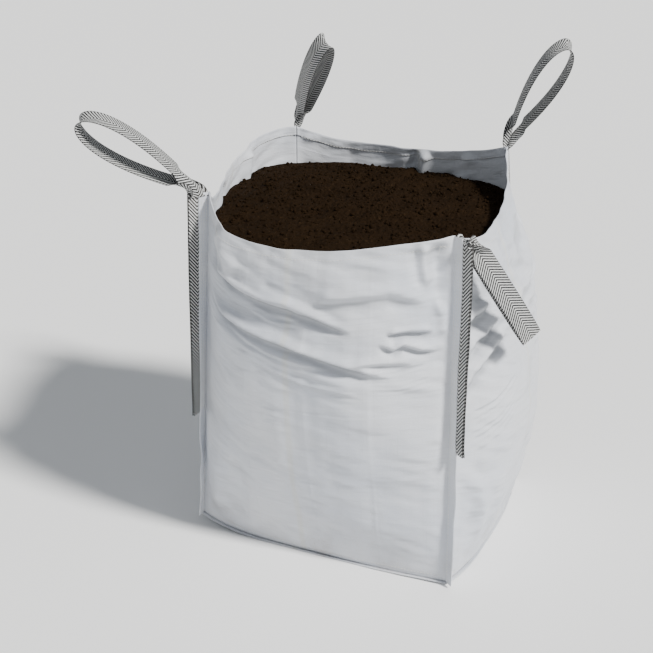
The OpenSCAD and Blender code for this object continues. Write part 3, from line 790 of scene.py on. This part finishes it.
def lifting_webbing(groups, webbing, cloth):
    material, b, shader = blank_material("lifting_webbing")
    flat = b.add("ShaderNodeUVMap", uv_map="cloth").outputs["UV"]
    where = b.add("ShaderNodeTexCoord").outputs["Object"]
    bone = place_group(b, groups["herringbone"], Cloth=flat, Pitch=webbing.pitch,
                       Half_Width=webbing.width / 2)
    dust = place_group(b, groups["dust"], Position=where, Amount=0.9)
    light = b.blend(b.ramp(b.noise(b.stretch(flat, 90.0, 9.0), 1.0, 3.0), 0.35, 0.7),
                    tuple(webbing.light), tuple(c * 0.80 for c in webbing.light))
    colour = b.blend(bone.outputs["Dark"], light, tuple(webbing.dark))
    colour = b.blend(b.sum("MULTIPLY", dust.outputs["Mask"], 0.6), colour, tuple(cloth.grime))
    b.feed(shader.inputs["Base Color"], colour)
    b.feed(shader.inputs["Roughness"], b.sum("ADD", b.sum("MULTIPLY", dust.outputs["Mottle"], 0.15),
                                             0.55))
    shader.inputs["Sheen Weight"].default_value = 0.15
    shader.inputs["Sheen Roughness"].default_value = 0.4
    shader.inputs["Specular IOR Level"].default_value = 0.35
    fuzz = b.noise(b.stretch(flat, 500.0, 500.0), 1.0, 2.0)
    b.feed(shader.inputs["Normal"], b.bump(bone.outputs["Height"], 0.55, 0.0006,
                                           b.bump(fuzz, 0.15, 0.0004)))
    return material


def sewing_thread(groups, thread, cloth):
    material, b, shader = blank_material("sewing_thread")
    where = b.add("ShaderNodeTexCoord").outputs["Object"]
    dust = place_group(b, groups["dust"], Position=where, Amount=1.2)
    twist = b.add("ShaderNodeTexWave", bands_direction="DIAGONAL")
    b.feed(twist.inputs["Vector"], where)
    twist.inputs["Scale"].default_value = 420.0
    shade = b.blend(twist.outputs["Fac"], tuple(thread.colour), tuple(c * 0.72 for c in thread.colour))
    b.feed(shader.inputs["Base Color"],
           b.blend(b.sum("MULTIPLY", dust.outputs["Mask"], 0.6), shade, tuple(cloth.grime)))
    b.feed(shader.inputs["Roughness"], b.ramp(dust.outputs["Mottle"], -1.2, 1.6))
    shader.inputs["Sheen Weight"].default_value = 0.2
    b.feed(shader.inputs["Normal"], b.bump(twist.outputs["Fac"], 0.4, 0.0004))
    return material


def damp_soil(soil):
    material, b, shader = blank_material("damp_soil")
    where = b.add("ShaderNodeTexCoord").outputs["Object"]
    broad = b.ramp(b.noise(where, 7.0, 4.0, 0.6), 0.35, 0.7)
    fine = b.noise(where, 130.0, 4.0, 0.7)
    tiny = b.noise(where, 420.0, 2.0, 0.6)
    colour = b.blend(b.sum("MULTIPLY", broad, 0.5), tuple(soil.colour),
                     tuple(c * 0.55 for c in soil.colour))
    colour = b.blend(b.ramp(fine, 0.54, 0.76), colour, tuple(soil.dry))
    colour = b.blend(b.sum("MULTIPLY", b.ramp(tiny, 0.66, 0.74), 0.7), colour, (0.075, 0.047, 0.025))
    b.feed(shader.inputs["Base Color"], colour)
    b.feed(shader.inputs["Roughness"], b.sum("ADD", b.sum("MULTIPLY", fine, 0.10), 0.88))
    shader.inputs["Specular IOR Level"].default_value = 0.04
    b.feed(shader.inputs["Normal"], b.bump(tiny, 0.6, 0.0015, b.bump(fine, 0.9, 0.006)))
    return material


# ---------------------------------------------------------------- pieces

_shared = {}


def the_bag():
    """The one FilledBag that all the pieces are built on."""
    if "bag" not in _shared:
        scene = bpy.context.scene
        _shared["bag"] = FilledBag(scene.bulk_bag_shape, scene.bulk_bag_cloth)
    return _shared["bag"]


class BULKBAG_OT_side_panels(bpy.types.Operator):
    """Four side panels with their folds, hems and seam allowances"""
    bl_idname = "bulkbag.side_panels"
    bl_label = "Side Panels"

    def execute(self, context):
        bag, cloth = the_bag(), context.scene.bulk_bag_cloth
        for i, side in enumerate(SIDES):
            obj = self.panel(bag, cloth, i)
            obj.name = obj.data.name = side + "_side_cloth"
            place(obj, ROOT, Finishes.get("cloth"), "woven_fabric", side + "_panel")
        return {"FINISHED"}

    def panel(self, bag, cloth, i):
        maker, k = MeshMaker(), (i + 1) % 4
        u, v, p, n = bag.sheet(i)
        across, along = u[None, :] * PANEL_HALF, v[:, None] * PANEL_HEIGHT
        # The panel carries its painted fold shade in the crease attribute.
        maker.grid(p, across, along, crease=bag.creases[i])
        for corner, sign, column in ((i, 1, 0), (k, -1, -1)):
            outs = np.array([0, 0.0015, 0.004, 0.009, 0.015, 0.021, 0.027, 1.0])
            width = cloth.allowance * (1 + 0.07 * soft_noise(v * 14, sign + 5.0, 80 + corner))
            rows = []
            for o in outs:
                out = np.minimum(o, width)
                rows.append(bag.fin_point(corner, v, out, sign, cloth.thickness) if o
                            else p[:, column])
            block = np.stack(rows, 1)
            far = PANEL_HALF + np.minimum(outs, 0.032)
            maker.grid(block if sign < 0 else block[:, ::-1],
                       (far if sign < 0 else -far[::-1])[None, :], along)
        self.hem(maker, bag, cloth, i, u, p, n)
        obj = maker.build("side_cloth", weld=1e-6)
        return thicken(obj, cloth.thickness)

    @staticmethod
    def hem(maker, bag, cloth, i, u, p, n):
        """The cloth turned in over the rim and down the inside."""
        inset = cloth.thickness * 2.7
        rim, out = p[-1], n[-1].copy()
        out[:, 2] = 0
        out = unit(out)
        rows = [rim]
        for a in (40, 85, 130, 180):
            t = math.radians(a)
            rows.append(rim - out * inset * (1 - math.cos(t)) / 2 + UP * inset / 2 * math.sin(t))
        turn = len(rows)
        for d in np.linspace(0.004, cloth.hem, 8):
            q, m = bag.on_sheet(i, u, 1 - d / PANEL_HEIGHT)
            puff = 0.0006 * soft_noise(u * 40, d * 90, 90 + i)
            rows.append(q - m * (inset + puff[:, None]))
        block = np.stack(rows)
        edge = smooth((1 - np.abs(u)) / 0.03)[None, :, None]
        block[turn:] = mix(block[turn:] + bisector_pull(u, i) * 0.002, block[turn:], edge)
        along = PANEL_HEIGHT + np.linspace(0, 1, len(rows))[:, None] * cloth.hem
        maker.grid(block, u[None, :] * PANEL_HALF, along)


def bisector_pull(u, i):
    """Direction into the bag at the two ends of side i, one row of points."""
    k = (i + 1) % 4
    return np.where((u < 0)[:, None], -SIGN[i], -SIGN[k])[None] * math.sqrt(0.5)


def ring_round(count):
    """Side, u and cumulative share of points once round the bag."""
    sides, us = [], []
    for i in range(4):
        u = np.linspace(-1, 1, count + 1)[:-1]
        sides.append(np.full(count, i))
        us.append(np.sign(u) * (1 - (1 - np.abs(u)) ** 1.15))
    return np.concatenate(sides), np.concatenate(us)


class BULKBAG_OT_base_cloth(bpy.types.Operator):
    """Base panel, flat where it stands and turned up at its corners"""
    bl_idname = "bulkbag.base_cloth"
    bl_label = "Base Cloth"

    def execute(self, context):
        bag, cloth = the_bag(), context.scene.bulk_bag_cloth
        sides, us = ring_round(60)
        edge = np.zeros((len(us), 3))
        rise = np.zeros(len(us))
        out = np.zeros((len(us), 3))
        for i in range(4):
            pick = sides == i
            edge[pick] = bag.wall(i, us[pick], 0.0)
            rise[pick] = bag.base_rise(i, us[pick])
            k = (i + 1) % 4
            w = ((us[pick] + 1) / 2)[:, None]
            corner = mix(SIGN[i], SIGN[k], w)
            out[pick] = unit(corner + OUTWARD[i] * 0.6)
        middle = bag.base.mean(0)
        middle[2] = 0
        rows, arc = [], []
        top = cloth.thickness + 0.0004
        for s in (0.02, 0.2, 0.4, 0.55, FLAT_SHARE, 0.78, 0.85, 0.9, 0.95, 1.0):
            q = mix(middle, edge, s)
            q[:, 2] = rise * (max(0.0, s - FLAT_SHARE) / (1 - FLAT_SHARE)) ** 2 + top
            rows.append(q)
            arc.append(s)
        for d in (0.004, 0.008, 0.0115):
            q = edge + out * d * (1 + 0.12 * soft_noise(us[:, None] * 9, sides[:, None], 101))
            q[:, 2] = rise + top + 0.0006 * soft_noise(us * 12 + sides, d * 200, 102)
            rows.append(q)
            arc.append(1 + d / 0.4)
        block = np.stack(rows)
        block = np.concatenate([block, block[:, :1]], 1)
        maker = MeshMaker()
        maker.grid(block, block[..., 0], block[..., 1])
        centre = np.array([[middle[0], middle[1], top]])
        inner = np.concatenate([rows[0], centre])
        count = len(rows[0])
        maker.loose(inner, [[count, n, (n + 1) % count] for n in range(count)])
        obj = maker.build("base_cloth", weld=1e-6)
        thicken(obj, cloth.thickness)
        place(obj, ROOT, Finishes.get("cloth"), "woven_fabric", "base_panel")
        return {"FINISHED"}


class BULKBAG_OT_soil(bpy.types.Operator):
    """Soil that fills the bag, crumbly on top"""
    bl_idname = "bulkbag.soil"
    bl_label = "Soil"

    def execute(self, context):
        bag, soil, shape = the_bag(), context.scene.bulk_bag_soil, context.scene.bulk_bag_shape
        sides, us = ring_round(110)
        edge = self.side_ring(bag, shape, sides, us, 1.0, 0.0022)
        middle = np.array([0.0, 0.0, shape.soil_level + shape.soil_tilt / 2])
        maker = MeshMaker()
        inward = [edge]
        for s in 1 - np.linspace(0, 1, 170)[1:-1] ** 0.9:
            q = mix(middle, edge, s)
            q[:, 2] += shape.soil_crown * (1 - s * s)
            inward.append(self.crumble(q, soil, min(1.0, (1 - s) / 0.03)))
        inward[0] = self.crumble(edge, soil, 0.35)
        block = np.stack(inward)
        self.wrap(maker, block)
        down = [inward[0]]
        for t in (0.99, 0.98, 0.965, 0.95, 0.935, 0.92, 0.905, 0.89, 0.87, 0.85, 0.83, 0.81, 0.79,
                  0.77, 0.75, 0.73, 0.71, 0.69, 0.66, 0.63, 0.6, 0.55, 0.5, 0.4, 0.3, 0.2, 0.12, 0.05):
            inset = 0.0022 + 0.014 * min(1.0, (1 - t) / 0.06)
            down.append(self.side_ring(bag, shape, sides, us, t, inset))
        foot = self.side_ring(bag, shape, sides, us, 0.0, 0.016)
        for s in (0.9, 0.7, 0.35, 0.05):
            q = mix(np.array([0, 0, 0.0046]), foot, s)
            down.append(q)
        self.wrap(maker, np.stack(down), flip=True)
        for ring, flip in ((down[-1], True), (inward[-1], False)):
            count = len(ring)
            inner = np.concatenate([ring, ring.mean(0)[None]])
            fan = [[count, (n + 1) % count, n] if flip else [count, n, (n + 1) % count]
                   for n in range(count)]
            maker.loose(inner, fan)
        heap = maker.build("soil_heap", weld=1e-6)
        place(heap, ROOT, Finishes.get("soil"), "soil", "soil_fill")
        crumbs = self.crumbs(soil, shape, edge, middle)
        place(crumbs, ROOT, Finishes.get("soil"), "soil")
        return {"FINISHED"}

    @staticmethod
    def wrap(maker, block, flip=False):
        block = np.concatenate([block, block[:, :1]], 1)
        maker.grid(block, block[..., 0], block[..., 1], flip)

    @staticmethod
    def level(shape, y):
        return shape.soil_level + shape.soil_tilt * (y + shape.base_half) / (2 * shape.base_half)

    def side_ring(self, bag, shape, sides, us, t, inset):
        """Points round the inside of the walls at share t of the soil's height."""
        ring = np.zeros((len(us), 3))
        for i in range(4):
            pick = sides == i
            u = us[pick]
            p0, _ = bag.on_sheet(i, u, 0.0)
            p1, _ = bag.on_sheet(i, u, 1.0)
            high = (self.level(shape, p1[:, 1]) - p0[:, 2]) / (p1[:, 2] - p0[:, 2])
            p, n = bag.on_sheet(i, u, high * t)
            corner = np.abs(u)[:, None] ** 8
            k = (i + 1) % 4
            pull = np.where((u < 0)[:, None], -SIGN[i], -SIGN[k]) * math.sqrt(0.5)
            q = p + mix(-n, pull, corner) * inset
            if t == 1.0:
                q = q + pull * corner * 0.004
            ring[pick] = q
        ring[:, 2] += 0.0004
        return ring

    @staticmethod
    def height_noise(x, y):
        h = 0.0075 * soft_noise(x / 0.16 + 3, y / 0.16, 201)
        h += 0.0050 * soft_noise(x / 0.052, y / 0.052, 202)
        h += 0.0042 * np.abs(soft_noise(x / 0.021, y / 0.021, 203))
        h += 0.0030 * np.abs(soft_noise(x / 0.0105, y / 0.0105, 204))
        h += 0.0018 * soft_noise(x / 0.0052, y / 0.0052, 205)
        return h

    def crumble(self, q, soil, share):
        q = q.copy()
        q[:, 2] += self.height_noise(q[:, 0], q[:, 1]) * soil.roughness * share
        return q

    def crumbs(self, soil, shape, edge, middle):
        """Loose crumbs of mixed size lying on the soil."""
        rng = np.random.RandomState(77)
        ball = bmesh.new()
        bmesh.ops.create_icosphere(ball, subdivisions=1, radius=1.0)
        verts = np.array([v.co for v in ball.verts])
        faces = np.array([[v.index for v in f.verts] for f in ball.faces])
        ball.free()
        maker = MeshMaker()
        for _ in range(soil.crumbs):
            s = math.sqrt(rng.uniform(0, 0.955))
            j = rng.randint(len(edge))
            q = mix(middle, edge[j], s)
            size = 0.0016 + 0.0055 * rng.uniform() ** 5 + 0.0014 * rng.uniform()
            q[2] += shape.soil_crown * (1 - s * s) * (s < 1)
            q[2] += float(self.height_noise(q[0], q[1])) * soil.roughness + size * 0.35
            squeeze = rng.uniform(0.65, 1.15, 3)
            turn = np.array(Matrix.Rotation(rng.uniform(0, 6.28), 3,
                                            Vector(rng.uniform(-1, 1, 3)).normalized()))
            lump = verts * (1 + rng.uniform(-0.16, 0.16, (len(verts), 1))) * squeeze * size
            maker.loose(lump @ turn.T + q, faces)
        return maker.build("soil_crumbs")


class BULKBAG_OT_webbing_legs(bpy.types.Operator):
    """Webbing legs sewn between the two seam allowances of each corner"""
    bl_idname = "bulkbag.webbing_legs"
    bl_label = "Webbing Legs"

    def execute(self, context):
        bag, webbing = the_bag(), context.scene.bulk_bag_webbing
        for k, corner in enumerate(CORNERS):
            for side, letter in ((1, "a"), (-1, "b")):
                obj = self.leg(bag, webbing, k, side)
                obj.name = obj.data.name = f"{corner}_webbing_leg_{letter}"
                place(obj, ROOT, Finishes.get("webbing"), "webbing", f"{corner}_strap_leg_{letter}")
        return {"FINISHED"}

    @staticmethod
    def leg(bag, webbing, k, side):
        v = np.linspace(LEG_END[k], 1.0, 120)
        x = np.linspace(-0.5, 0.5, 15)
        half_t = webbing.thickness / 2
        cut = LEG_END[k]
        rows = []
        for a in x:
            out = SEAM_PINCH + (a + 0.5) * (webbing.width - SEAM_PINCH)
            # Two legs that are not quite on top of each other, seen edge on.
            fan = smooth((out - 0.030) / 0.035) * (0.0009 + 0.0016 * (0.5 + 0.5 * soft_noise(
                v * 9, k + 3.0 * side + 8, 120)))
            q = bag.corner(k, v) + bag.fin_out(k, v) * out
            off = side * (0.0001 + half_t + fan) + bag.sway(k, v, out)
            rows.append(q + bag.fin_side(k, v) * off[:, None])
        block = np.stack(rows, 1)
        maker = MeshMaker()
        across = x[None, :] * webbing.width
        along = -(v[:, None] - cut) * 0.9
        maker.grid(block, across, along, flip=side > 0)
        obj = maker.build("webbing_leg")
        return thicken(obj, webbing.thickness * 0.94, 0.0)


class BULKBAG_OT_lifting_loops(bpy.types.Operator):
    """Lifting loops, each one length of webbing from leg to leg"""
    bl_idname = "bulkbag.lifting_loops"
    bl_label = "Lifting Loops"

    def execute(self, context):
        bag, webbing, shape = the_bag(), context.scene.bulk_bag_webbing, context.scene.bulk_bag_shape
        for k, corner in enumerate(CORNERS):
            obj, start, end = self.loop(bag, webbing, shape, k)
            obj.name = obj.data.name = corner + "_loop_webbing"
            place(obj, None, Finishes.get("webbing"), "webbing", corner + "_loop")
            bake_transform(obj)
        return {"FINISHED"}

    def loop(self, bag, webbing, shape, k):
        run, opened = unit(np.array(LOOP_RUN[k], float)), np.array(LOOP_OPEN[k], float)
        opened = unit(opened - run * (run @ opened))
        broad = np.cross(run, opened)
        hinge = bag.top[k] + bag.fin_out(k, 1.0) * HINGE_OUT + UP * HINGE_RISE
        start, t = LOOP_START[k], webbing.thickness
        s = np.linspace(0, 1, 161)
        turn = 2 * np.pi * s
        along = start + (shape.loop_len - start - t / 2) * (1 - np.cos(turn)) / 2
        apart = (LOOP_GAP[k] * 0.65 * np.sin(turn) * np.sin(turn / 2)
                 + (t / 2 + CLOSED_GAP) * np.cos(turn / 2))
        centre = hinge + run * along[:, None] + opened * apart[:, None]
        tangent = unit(np.gradient(centre, axis=0))
        width_dir = np.tile(broad, (len(s), 1))
        # Webbing leaves the top of its legs lying along the seam, then turns to the loop's plane.
        out, side = bag.fin_out(k, 1.0), bag.fin_side(k, 1.0)
        lie = out if (out @ broad) >= 0 else -out
        lead, lead_n = 22, 26
        low = bag.top[k] + out * (0.0025 + webbing.width) / 2
        centres, dirs, share = [], [], []
        for which in (0, 1):
            sign = 1 if which == 0 else -1
            body = centre[lead] if which == 0 else centre[-1 - lead]
            heading = tangent[lead] if which == 0 else -tangent[-1 - lead]
            fan = sign * (t / 2 + 0.0006) * (1 if (side @ opened) >= 0 else -1)
            foot = low + side * fan - UP * 0.012
            reach = np.linalg.norm(body - foot)
            q = np.linspace(0, 1, lead_n)[:-1][:, None]
            h0, h1 = 2 * q**3 - 3 * q**2 + 1, -2 * q**3 + 3 * q**2
            g0, g1 = q**3 - 2 * q**2 + q, q**3 - q**2
            path = h0 * foot + h1 * body + g0 * UP * reach * 0.9 + g1 * heading * reach * 1.1
            centres.append(path)
            dirs.append(unit(mix(lie[None], broad[None], smooth(q * 1.05 - 0.02))))
            share.append(q[:, 0])
        middle = slice(lead, len(s) - lead)
        path = np.concatenate([centres[0], centre[middle], centres[1][::-1]])
        wide = np.concatenate([dirs[0], width_dir[middle], dirs[1][::-1]])
        ones = np.ones(len(s) - 2 * lead)
        q = np.concatenate([share[0], ones, share[1][::-1]])
        tangent = unit(np.gradient(path, axis=0))
        wide = unit(wide - tangent * np.sum(wide * tangent, 1)[:, None])
        normal = np.cross(tangent, wide)
        # The neck is cupped across its width where the sewn legs let go of it.
        cup = NECK_CURL * np.sin(np.pi * np.clip(q, 0, 1)) ** 1.2
        sway = 0.10 * np.sin(np.linspace(0, 9.0, len(q)) + k) * smooth(q)
        cup = cup + sway
        length = np.concatenate([[0], np.cumsum(np.linalg.norm(np.diff(path, axis=0), axis=1))])
        x = np.linspace(-0.5, 0.5, 17)
        w = webbing.width
        bend = np.where(np.abs(cup) < 1e-3, 1e-3, cup)[:, None]
        radius = w / bend
        a = x[None, :] * bend
        flip = 1.0 if k in (0, 3) else -1.0
        sideways = radius * np.sin(a)
        arch = radius * (1 - np.cos(a)) * flip
        arch = arch - arch.mean(1, keepdims=True) * 0.6
        block = (path[:, None] + wide[:, None] * sideways[..., None] + normal[:, None] * arch[..., None])
        # A band pinched at its tip, as hooks leave it.
        half = length[-1] / 2
        tip = np.exp(-((length - half) / 0.05) ** 2)[:, None]
        block += normal[:, None] * (TIP_PINCH[k] * tip * (1 - (2 * x[None, :]) ** 2))[..., None]
        maker = MeshMaker()
        from_middle = np.abs(length - half) - half
        maker.grid(block, x[None, :] * w, from_middle[:, None])
        obj = maker.build("loop_webbing")
        thicken(obj, t * 0.94, 0.0)
        return obj, bag.top[k] + out * HINGE_OUT - UP * 0.006, hinge + run * 0.075


class BULKBAG_OT_stitching(bpy.types.Operator):
    """Stitching of the hems, the base seam, the corner seams and the sewn webbing"""
    bl_idname = "bulkbag.stitching"
    bl_label = "Stitching"

    def execute(self, context):
        bag, thread = the_bag(), context.scene.bulk_bag_thread
        cloth = context.scene.bulk_bag_cloth
        u = np.linspace(-0.985, 0.985, 300)
        for i, side in enumerate(SIDES):
            maker = MeshMaker()
            p, n = bag.on_sheet(i, u, STITCH_ROW + 0.0012 * np.sin(u * 23 + i))
            self.stitches(maker, p, n, thread, i)
            self.stitches(maker, p - n * (cloth.thickness * 2.7 + cloth.thickness * 0.1), -n, thread, i)
            if i == 0:
                self.tail(maker, bag, thread, 0, 0.93, STITCH_ROW)
            self.finish_piece(maker, side + "_hem_thread", side + "_hem_stitching")
            maker = MeshMaker()
            p, n = bag.on_sheet(i, u * 0.99, BASE_STITCH_ROW)
            self.stitches(maker, p, n, thread, i + 9)
            self.finish_piece(maker, side + "_base_thread", side + "_base_stitching")
        for k, corner in enumerate(CORNERS):
            maker = MeshMaker()
            v = np.linspace(0.02, 0.985, 420)
            for side in (1, -1):
                self.seam_line(maker, bag, thread, cloth, k, side, v, 0.008)
            self.finish_piece(maker, corner + "_seam_thread", corner + "_seam_stitching")
            maker = MeshMaker()
            v = np.linspace(LEG_END[k] + 0.01, 0.985, 320)
            for side in (1, -1):
                self.seam_line(maker, bag, thread, cloth, k, side, v, 0.024)
                self.seam_line(maker, bag, thread, cloth, k, side, v, 0.0155)
            self.finish_piece(maker, corner + "_webbing_thread", corner + "_strap_stitching")
        return {"FINISHED"}

    @staticmethod
    def finish_piece(maker, name, node):
        place(maker.build(name), ROOT, Finishes.get("thread"), "thread", node)

    def seam_line(self, maker, bag, thread, cloth, k, side, v, out):
        wander = out + 0.0008 * np.sin(v * 37 + k)
        p = bag.fin_point(k, v, wander, side, cloth.thickness)
        n = bag.fin_side(k, v) * side
        self.stitches(maker, p, n, thread, k + 20)

    @staticmethod
    def stitches(maker, p, n, thread, seed):
        """Dashes of thread along a line of points, dipping into the cloth at both ends."""
        rng = np.random.RandomState(300 + seed)
        length = np.concatenate([[0], np.cumsum(np.linalg.norm(np.diff(p, axis=0), axis=1))])
        at, r = 0.002, thread.diameter / 2
        while at + thread.stitch < length[-1]:
            here = at + np.array([0, 0.16, 0.5, 0.84, 1.0]) * thread.stitch
            c = np.stack([np.interp(here, length, p[:, a]) for a in range(3)], 1)
            m = unit(np.stack([np.interp(here, length, n[:, a]) for a in range(3)], 1))
            t = unit(np.gradient(c, axis=0))
            across = np.cross(m, t)
            c = c + m * (np.array([-0.4, 0.45, 0.75, 0.45, -0.4]) * r)[:, None]
            c = c + across * rng.uniform(-0.25, 0.25) * r
            fat = r * np.array([0.35, 0.85, 1.0, 0.85, 0.35])
            ring = [(math.cos(a), math.sin(a)) for a in np.arange(6) * math.pi / 3]
            pts = np.concatenate([c + across * (fat * x)[:, None] + m * (fat * y * 0.8)[:, None]
                                  for x, y in ring])
            pts = pts.reshape(6, 5, 3).transpose(1, 0, 2).reshape(-1, 3)
            faces = [[row * 6 + j, row * 6 + (j + 1) % 6, row * 6 + 6 + (j + 1) % 6, row * 6 + 6 + j]
                     for row in range(4) for j in range(6)]
            maker.loose(pts, faces)
            maker.loose(pts[:6], [[5, 4, 3, 2, 1, 0]])
            maker.loose(pts[24:], [[0, 1, 2, 3, 4, 5]])
            at += thread.stitch + thread.gap * rng.uniform(0.85, 1.15)

    @staticmethod
    def tail(maker, bag, thread, i, u, v):
        """Short ends of thread left hanging where the hem's stitching stops."""
        p, n = bag.on_sheet(i, np.array([u]), np.array([v]))
        p, n = p[0], n[0]
        right = unit(np.cross(UP, n))
        for bend, drop, length in ((0.4, 0.3, 0.030), (-0.2, 0.8, 0.024), (1.0, -0.1, 0.020)):
            q = np.linspace(0, 1, 14)[:, None]
            path = (p + n * (0.0012 + 0.002 * np.sin(q * 3.1)) + right * length * bend * q
                    - UP * length * drop * q ** 1.3 + UP * 0.003 * np.sin(q * 5 * bend))
            tangent = unit(np.gradient(path, axis=0))
            a = unit(np.cross(tangent, n))
            b = np.cross(tangent, a)
            r = thread.diameter * 0.32
            ring = np.stack([path + a * r * math.cos(t) + b * r * math.sin(t)
                             for t in np.arange(6) * math.pi / 3], 1)
            ring = np.concatenate([ring, ring[:, :1]], 1)
            maker.grid(ring, ring[..., 0], ring[..., 1])


class BULKBAG_OT_stage(bpy.types.Operator):
    """Pale floor, soft lights and the camera"""
    bl_idname = "bulkbag.stage"
    bl_label = "Stage"

    def execute(self, context):
        stage = context.scene.bulk_bag_stage
        self.floor(stage)
        self.lights(context.scene)
        self.camera(context.scene, stage)
        return {"FINISHED"}

    @staticmethod
    def floor(stage):
        maker = MeshMaker()
        side = np.linspace(-14, 14, 3)
        x, y = np.meshgrid(side, side)
        maker.grid(np.stack([x, y, 0 * x], -1), x, y)
        obj = maker.build("studio_floor", shade=False)
        material, _, shader = blank_material("studio_floor")
        shader.inputs["Base Color"].default_value = (*stage.floor, 1.0)
        shader.inputs["Roughness"].default_value = 0.9
        shader.inputs["Specular IOR Level"].default_value = 0.1
        obj.data.materials.append(material)

    @staticmethod
    def lights(scene):
        world = bpy.data.worlds.new("studio_air")
        world.use_nodes = True
        world.node_tree.nodes["Background"].inputs["Color"].default_value = (0.90, 0.95, 1.0, 1.0)
        # Dim light from all round, but a pale backdrop where the floor ends.
        board = NodeBoard(world.node_tree)
        seen = board.add("ShaderNodeLightPath").outputs["Is Camera Ray"]
        board.feed(world.node_tree.nodes["Background"].inputs["Strength"],
                   board.sum("MULTIPLY_ADD", seen, 1.15, 0.36))
        scene.world = world
        for name, kind, power, size, spot, colour in (
                ("key_light", "SUN", 6.2, math.radians(9), (2.7, -0.80, 3.3), (1.0, 0.985, 0.955)),
                ("fill_softbox", "AREA", 10.0, 2.5, (0.5, -4.0, 2.2), (0.93, 0.96, 1.0))):
            light = bpy.data.lights.new(name, kind)
            light.energy, light.color = power, colour
            if kind == "SUN":
                light.angle = size
            else:
                light.size = size
            obj = bpy.data.objects.new(name, light)
            scene.collection.objects.link(obj)
            obj.location = spot
            aim = Vector((0, 0, 0.75)) - Vector(spot)
            obj.rotation_euler = aim.to_track_quat("-Z", "Y").to_euler()

    @staticmethod
    def camera(scene, stage):
        az, el, roll = (math.radians(a) for a in (stage.azimuth, stage.elevation, stage.roll))
        back = np.array([math.sin(az) * math.cos(el), -math.cos(az) * math.cos(el), math.sin(el)])
        right = np.array([math.cos(az), math.sin(az), 0.0])
        up = np.cross(back, right)
        right, up = (right * math.cos(roll) + up * math.sin(roll),
                     up * math.cos(roll) - right * math.sin(roll))
        spot = right * -0.111 + up * 0.098 + np.array([0, 0, 0.5]) + back * stage.distance
        data = bpy.data.cameras.new("product_camera")
        data.sensor_width, data.lens = 36.0, stage.lens
        data.clip_end = 60.0
        obj = bpy.data.objects.new("product_camera", data)
        scene.collection.objects.link(obj)
        turn = Matrix([right.tolist(), up.tolist(), back.tolist()]).transposed()
        obj.matrix_world = Matrix.Translation(Vector(spot)) @ turn.to_4x4()
        scene.camera = obj


# ---------------------------------------------------------------- add-on

SETTINGS = (("bulk_bag_shape", BagShapeSettings), ("bulk_bag_cloth", ClothSettings),
            ("bulk_bag_webbing", WebbingSettings), ("bulk_bag_thread", ThreadSettings),
            ("bulk_bag_soil", SoilSettings), ("bulk_bag_stage", StageSettings))
STEPS = (BULKBAG_OT_side_panels, BULKBAG_OT_base_cloth, BULKBAG_OT_soil, BULKBAG_OT_webbing_legs,
         BULKBAG_OT_lifting_loops, BULKBAG_OT_stitching, BULKBAG_OT_stage)


class BULKBAG_PT_panel(bpy.types.Panel):
    """Lists the bag's sizes and building steps"""
    bl_idname = "BULKBAG_PT_panel"
    bl_label = "Bulk Bag"
    bl_space_type = "VIEW_3D"
    bl_region_type = "UI"
    bl_category = "Bulk Bag"

    def draw(self, context):
        for name, group in SETTINGS:
            box = self.layout.box()
            box.label(text=group.__doc__)
            for prop in group.__annotations__:
                box.prop(getattr(context.scene, name), prop)
        for step in STEPS:
            self.layout.operator(step.bl_idname)


def register():
    for _, group in SETTINGS:
        bpy.utils.register_class(group)
    for name, group in SETTINGS:
        setattr(bpy.types.Scene, name, PointerProperty(type=group))
    for step in STEPS:
        bpy.utils.register_class(step)
    bpy.utils.register_class(BULKBAG_PT_panel)


def unregister():
    bpy.utils.unregister_class(BULKBAG_PT_panel)
    for step in reversed(STEPS):
        bpy.utils.unregister_class(step)
    for name, _ in SETTINGS:
        delattr(bpy.types.Scene, name)
    for _, group in reversed(SETTINGS):
        bpy.utils.unregister_class(group)


def main():
    register()
    bpy.ops.bulkbag.side_panels()
    bpy.ops.bulkbag.base_cloth()
    bpy.ops.bulkbag.soil()
    bpy.ops.bulkbag.webbing_legs()
    bpy.ops.bulkbag.lifting_loops()
    bpy.ops.bulkbag.stitching()
    bpy.ops.bulkbag.stage()


if __name__ == "__main__":
    main()
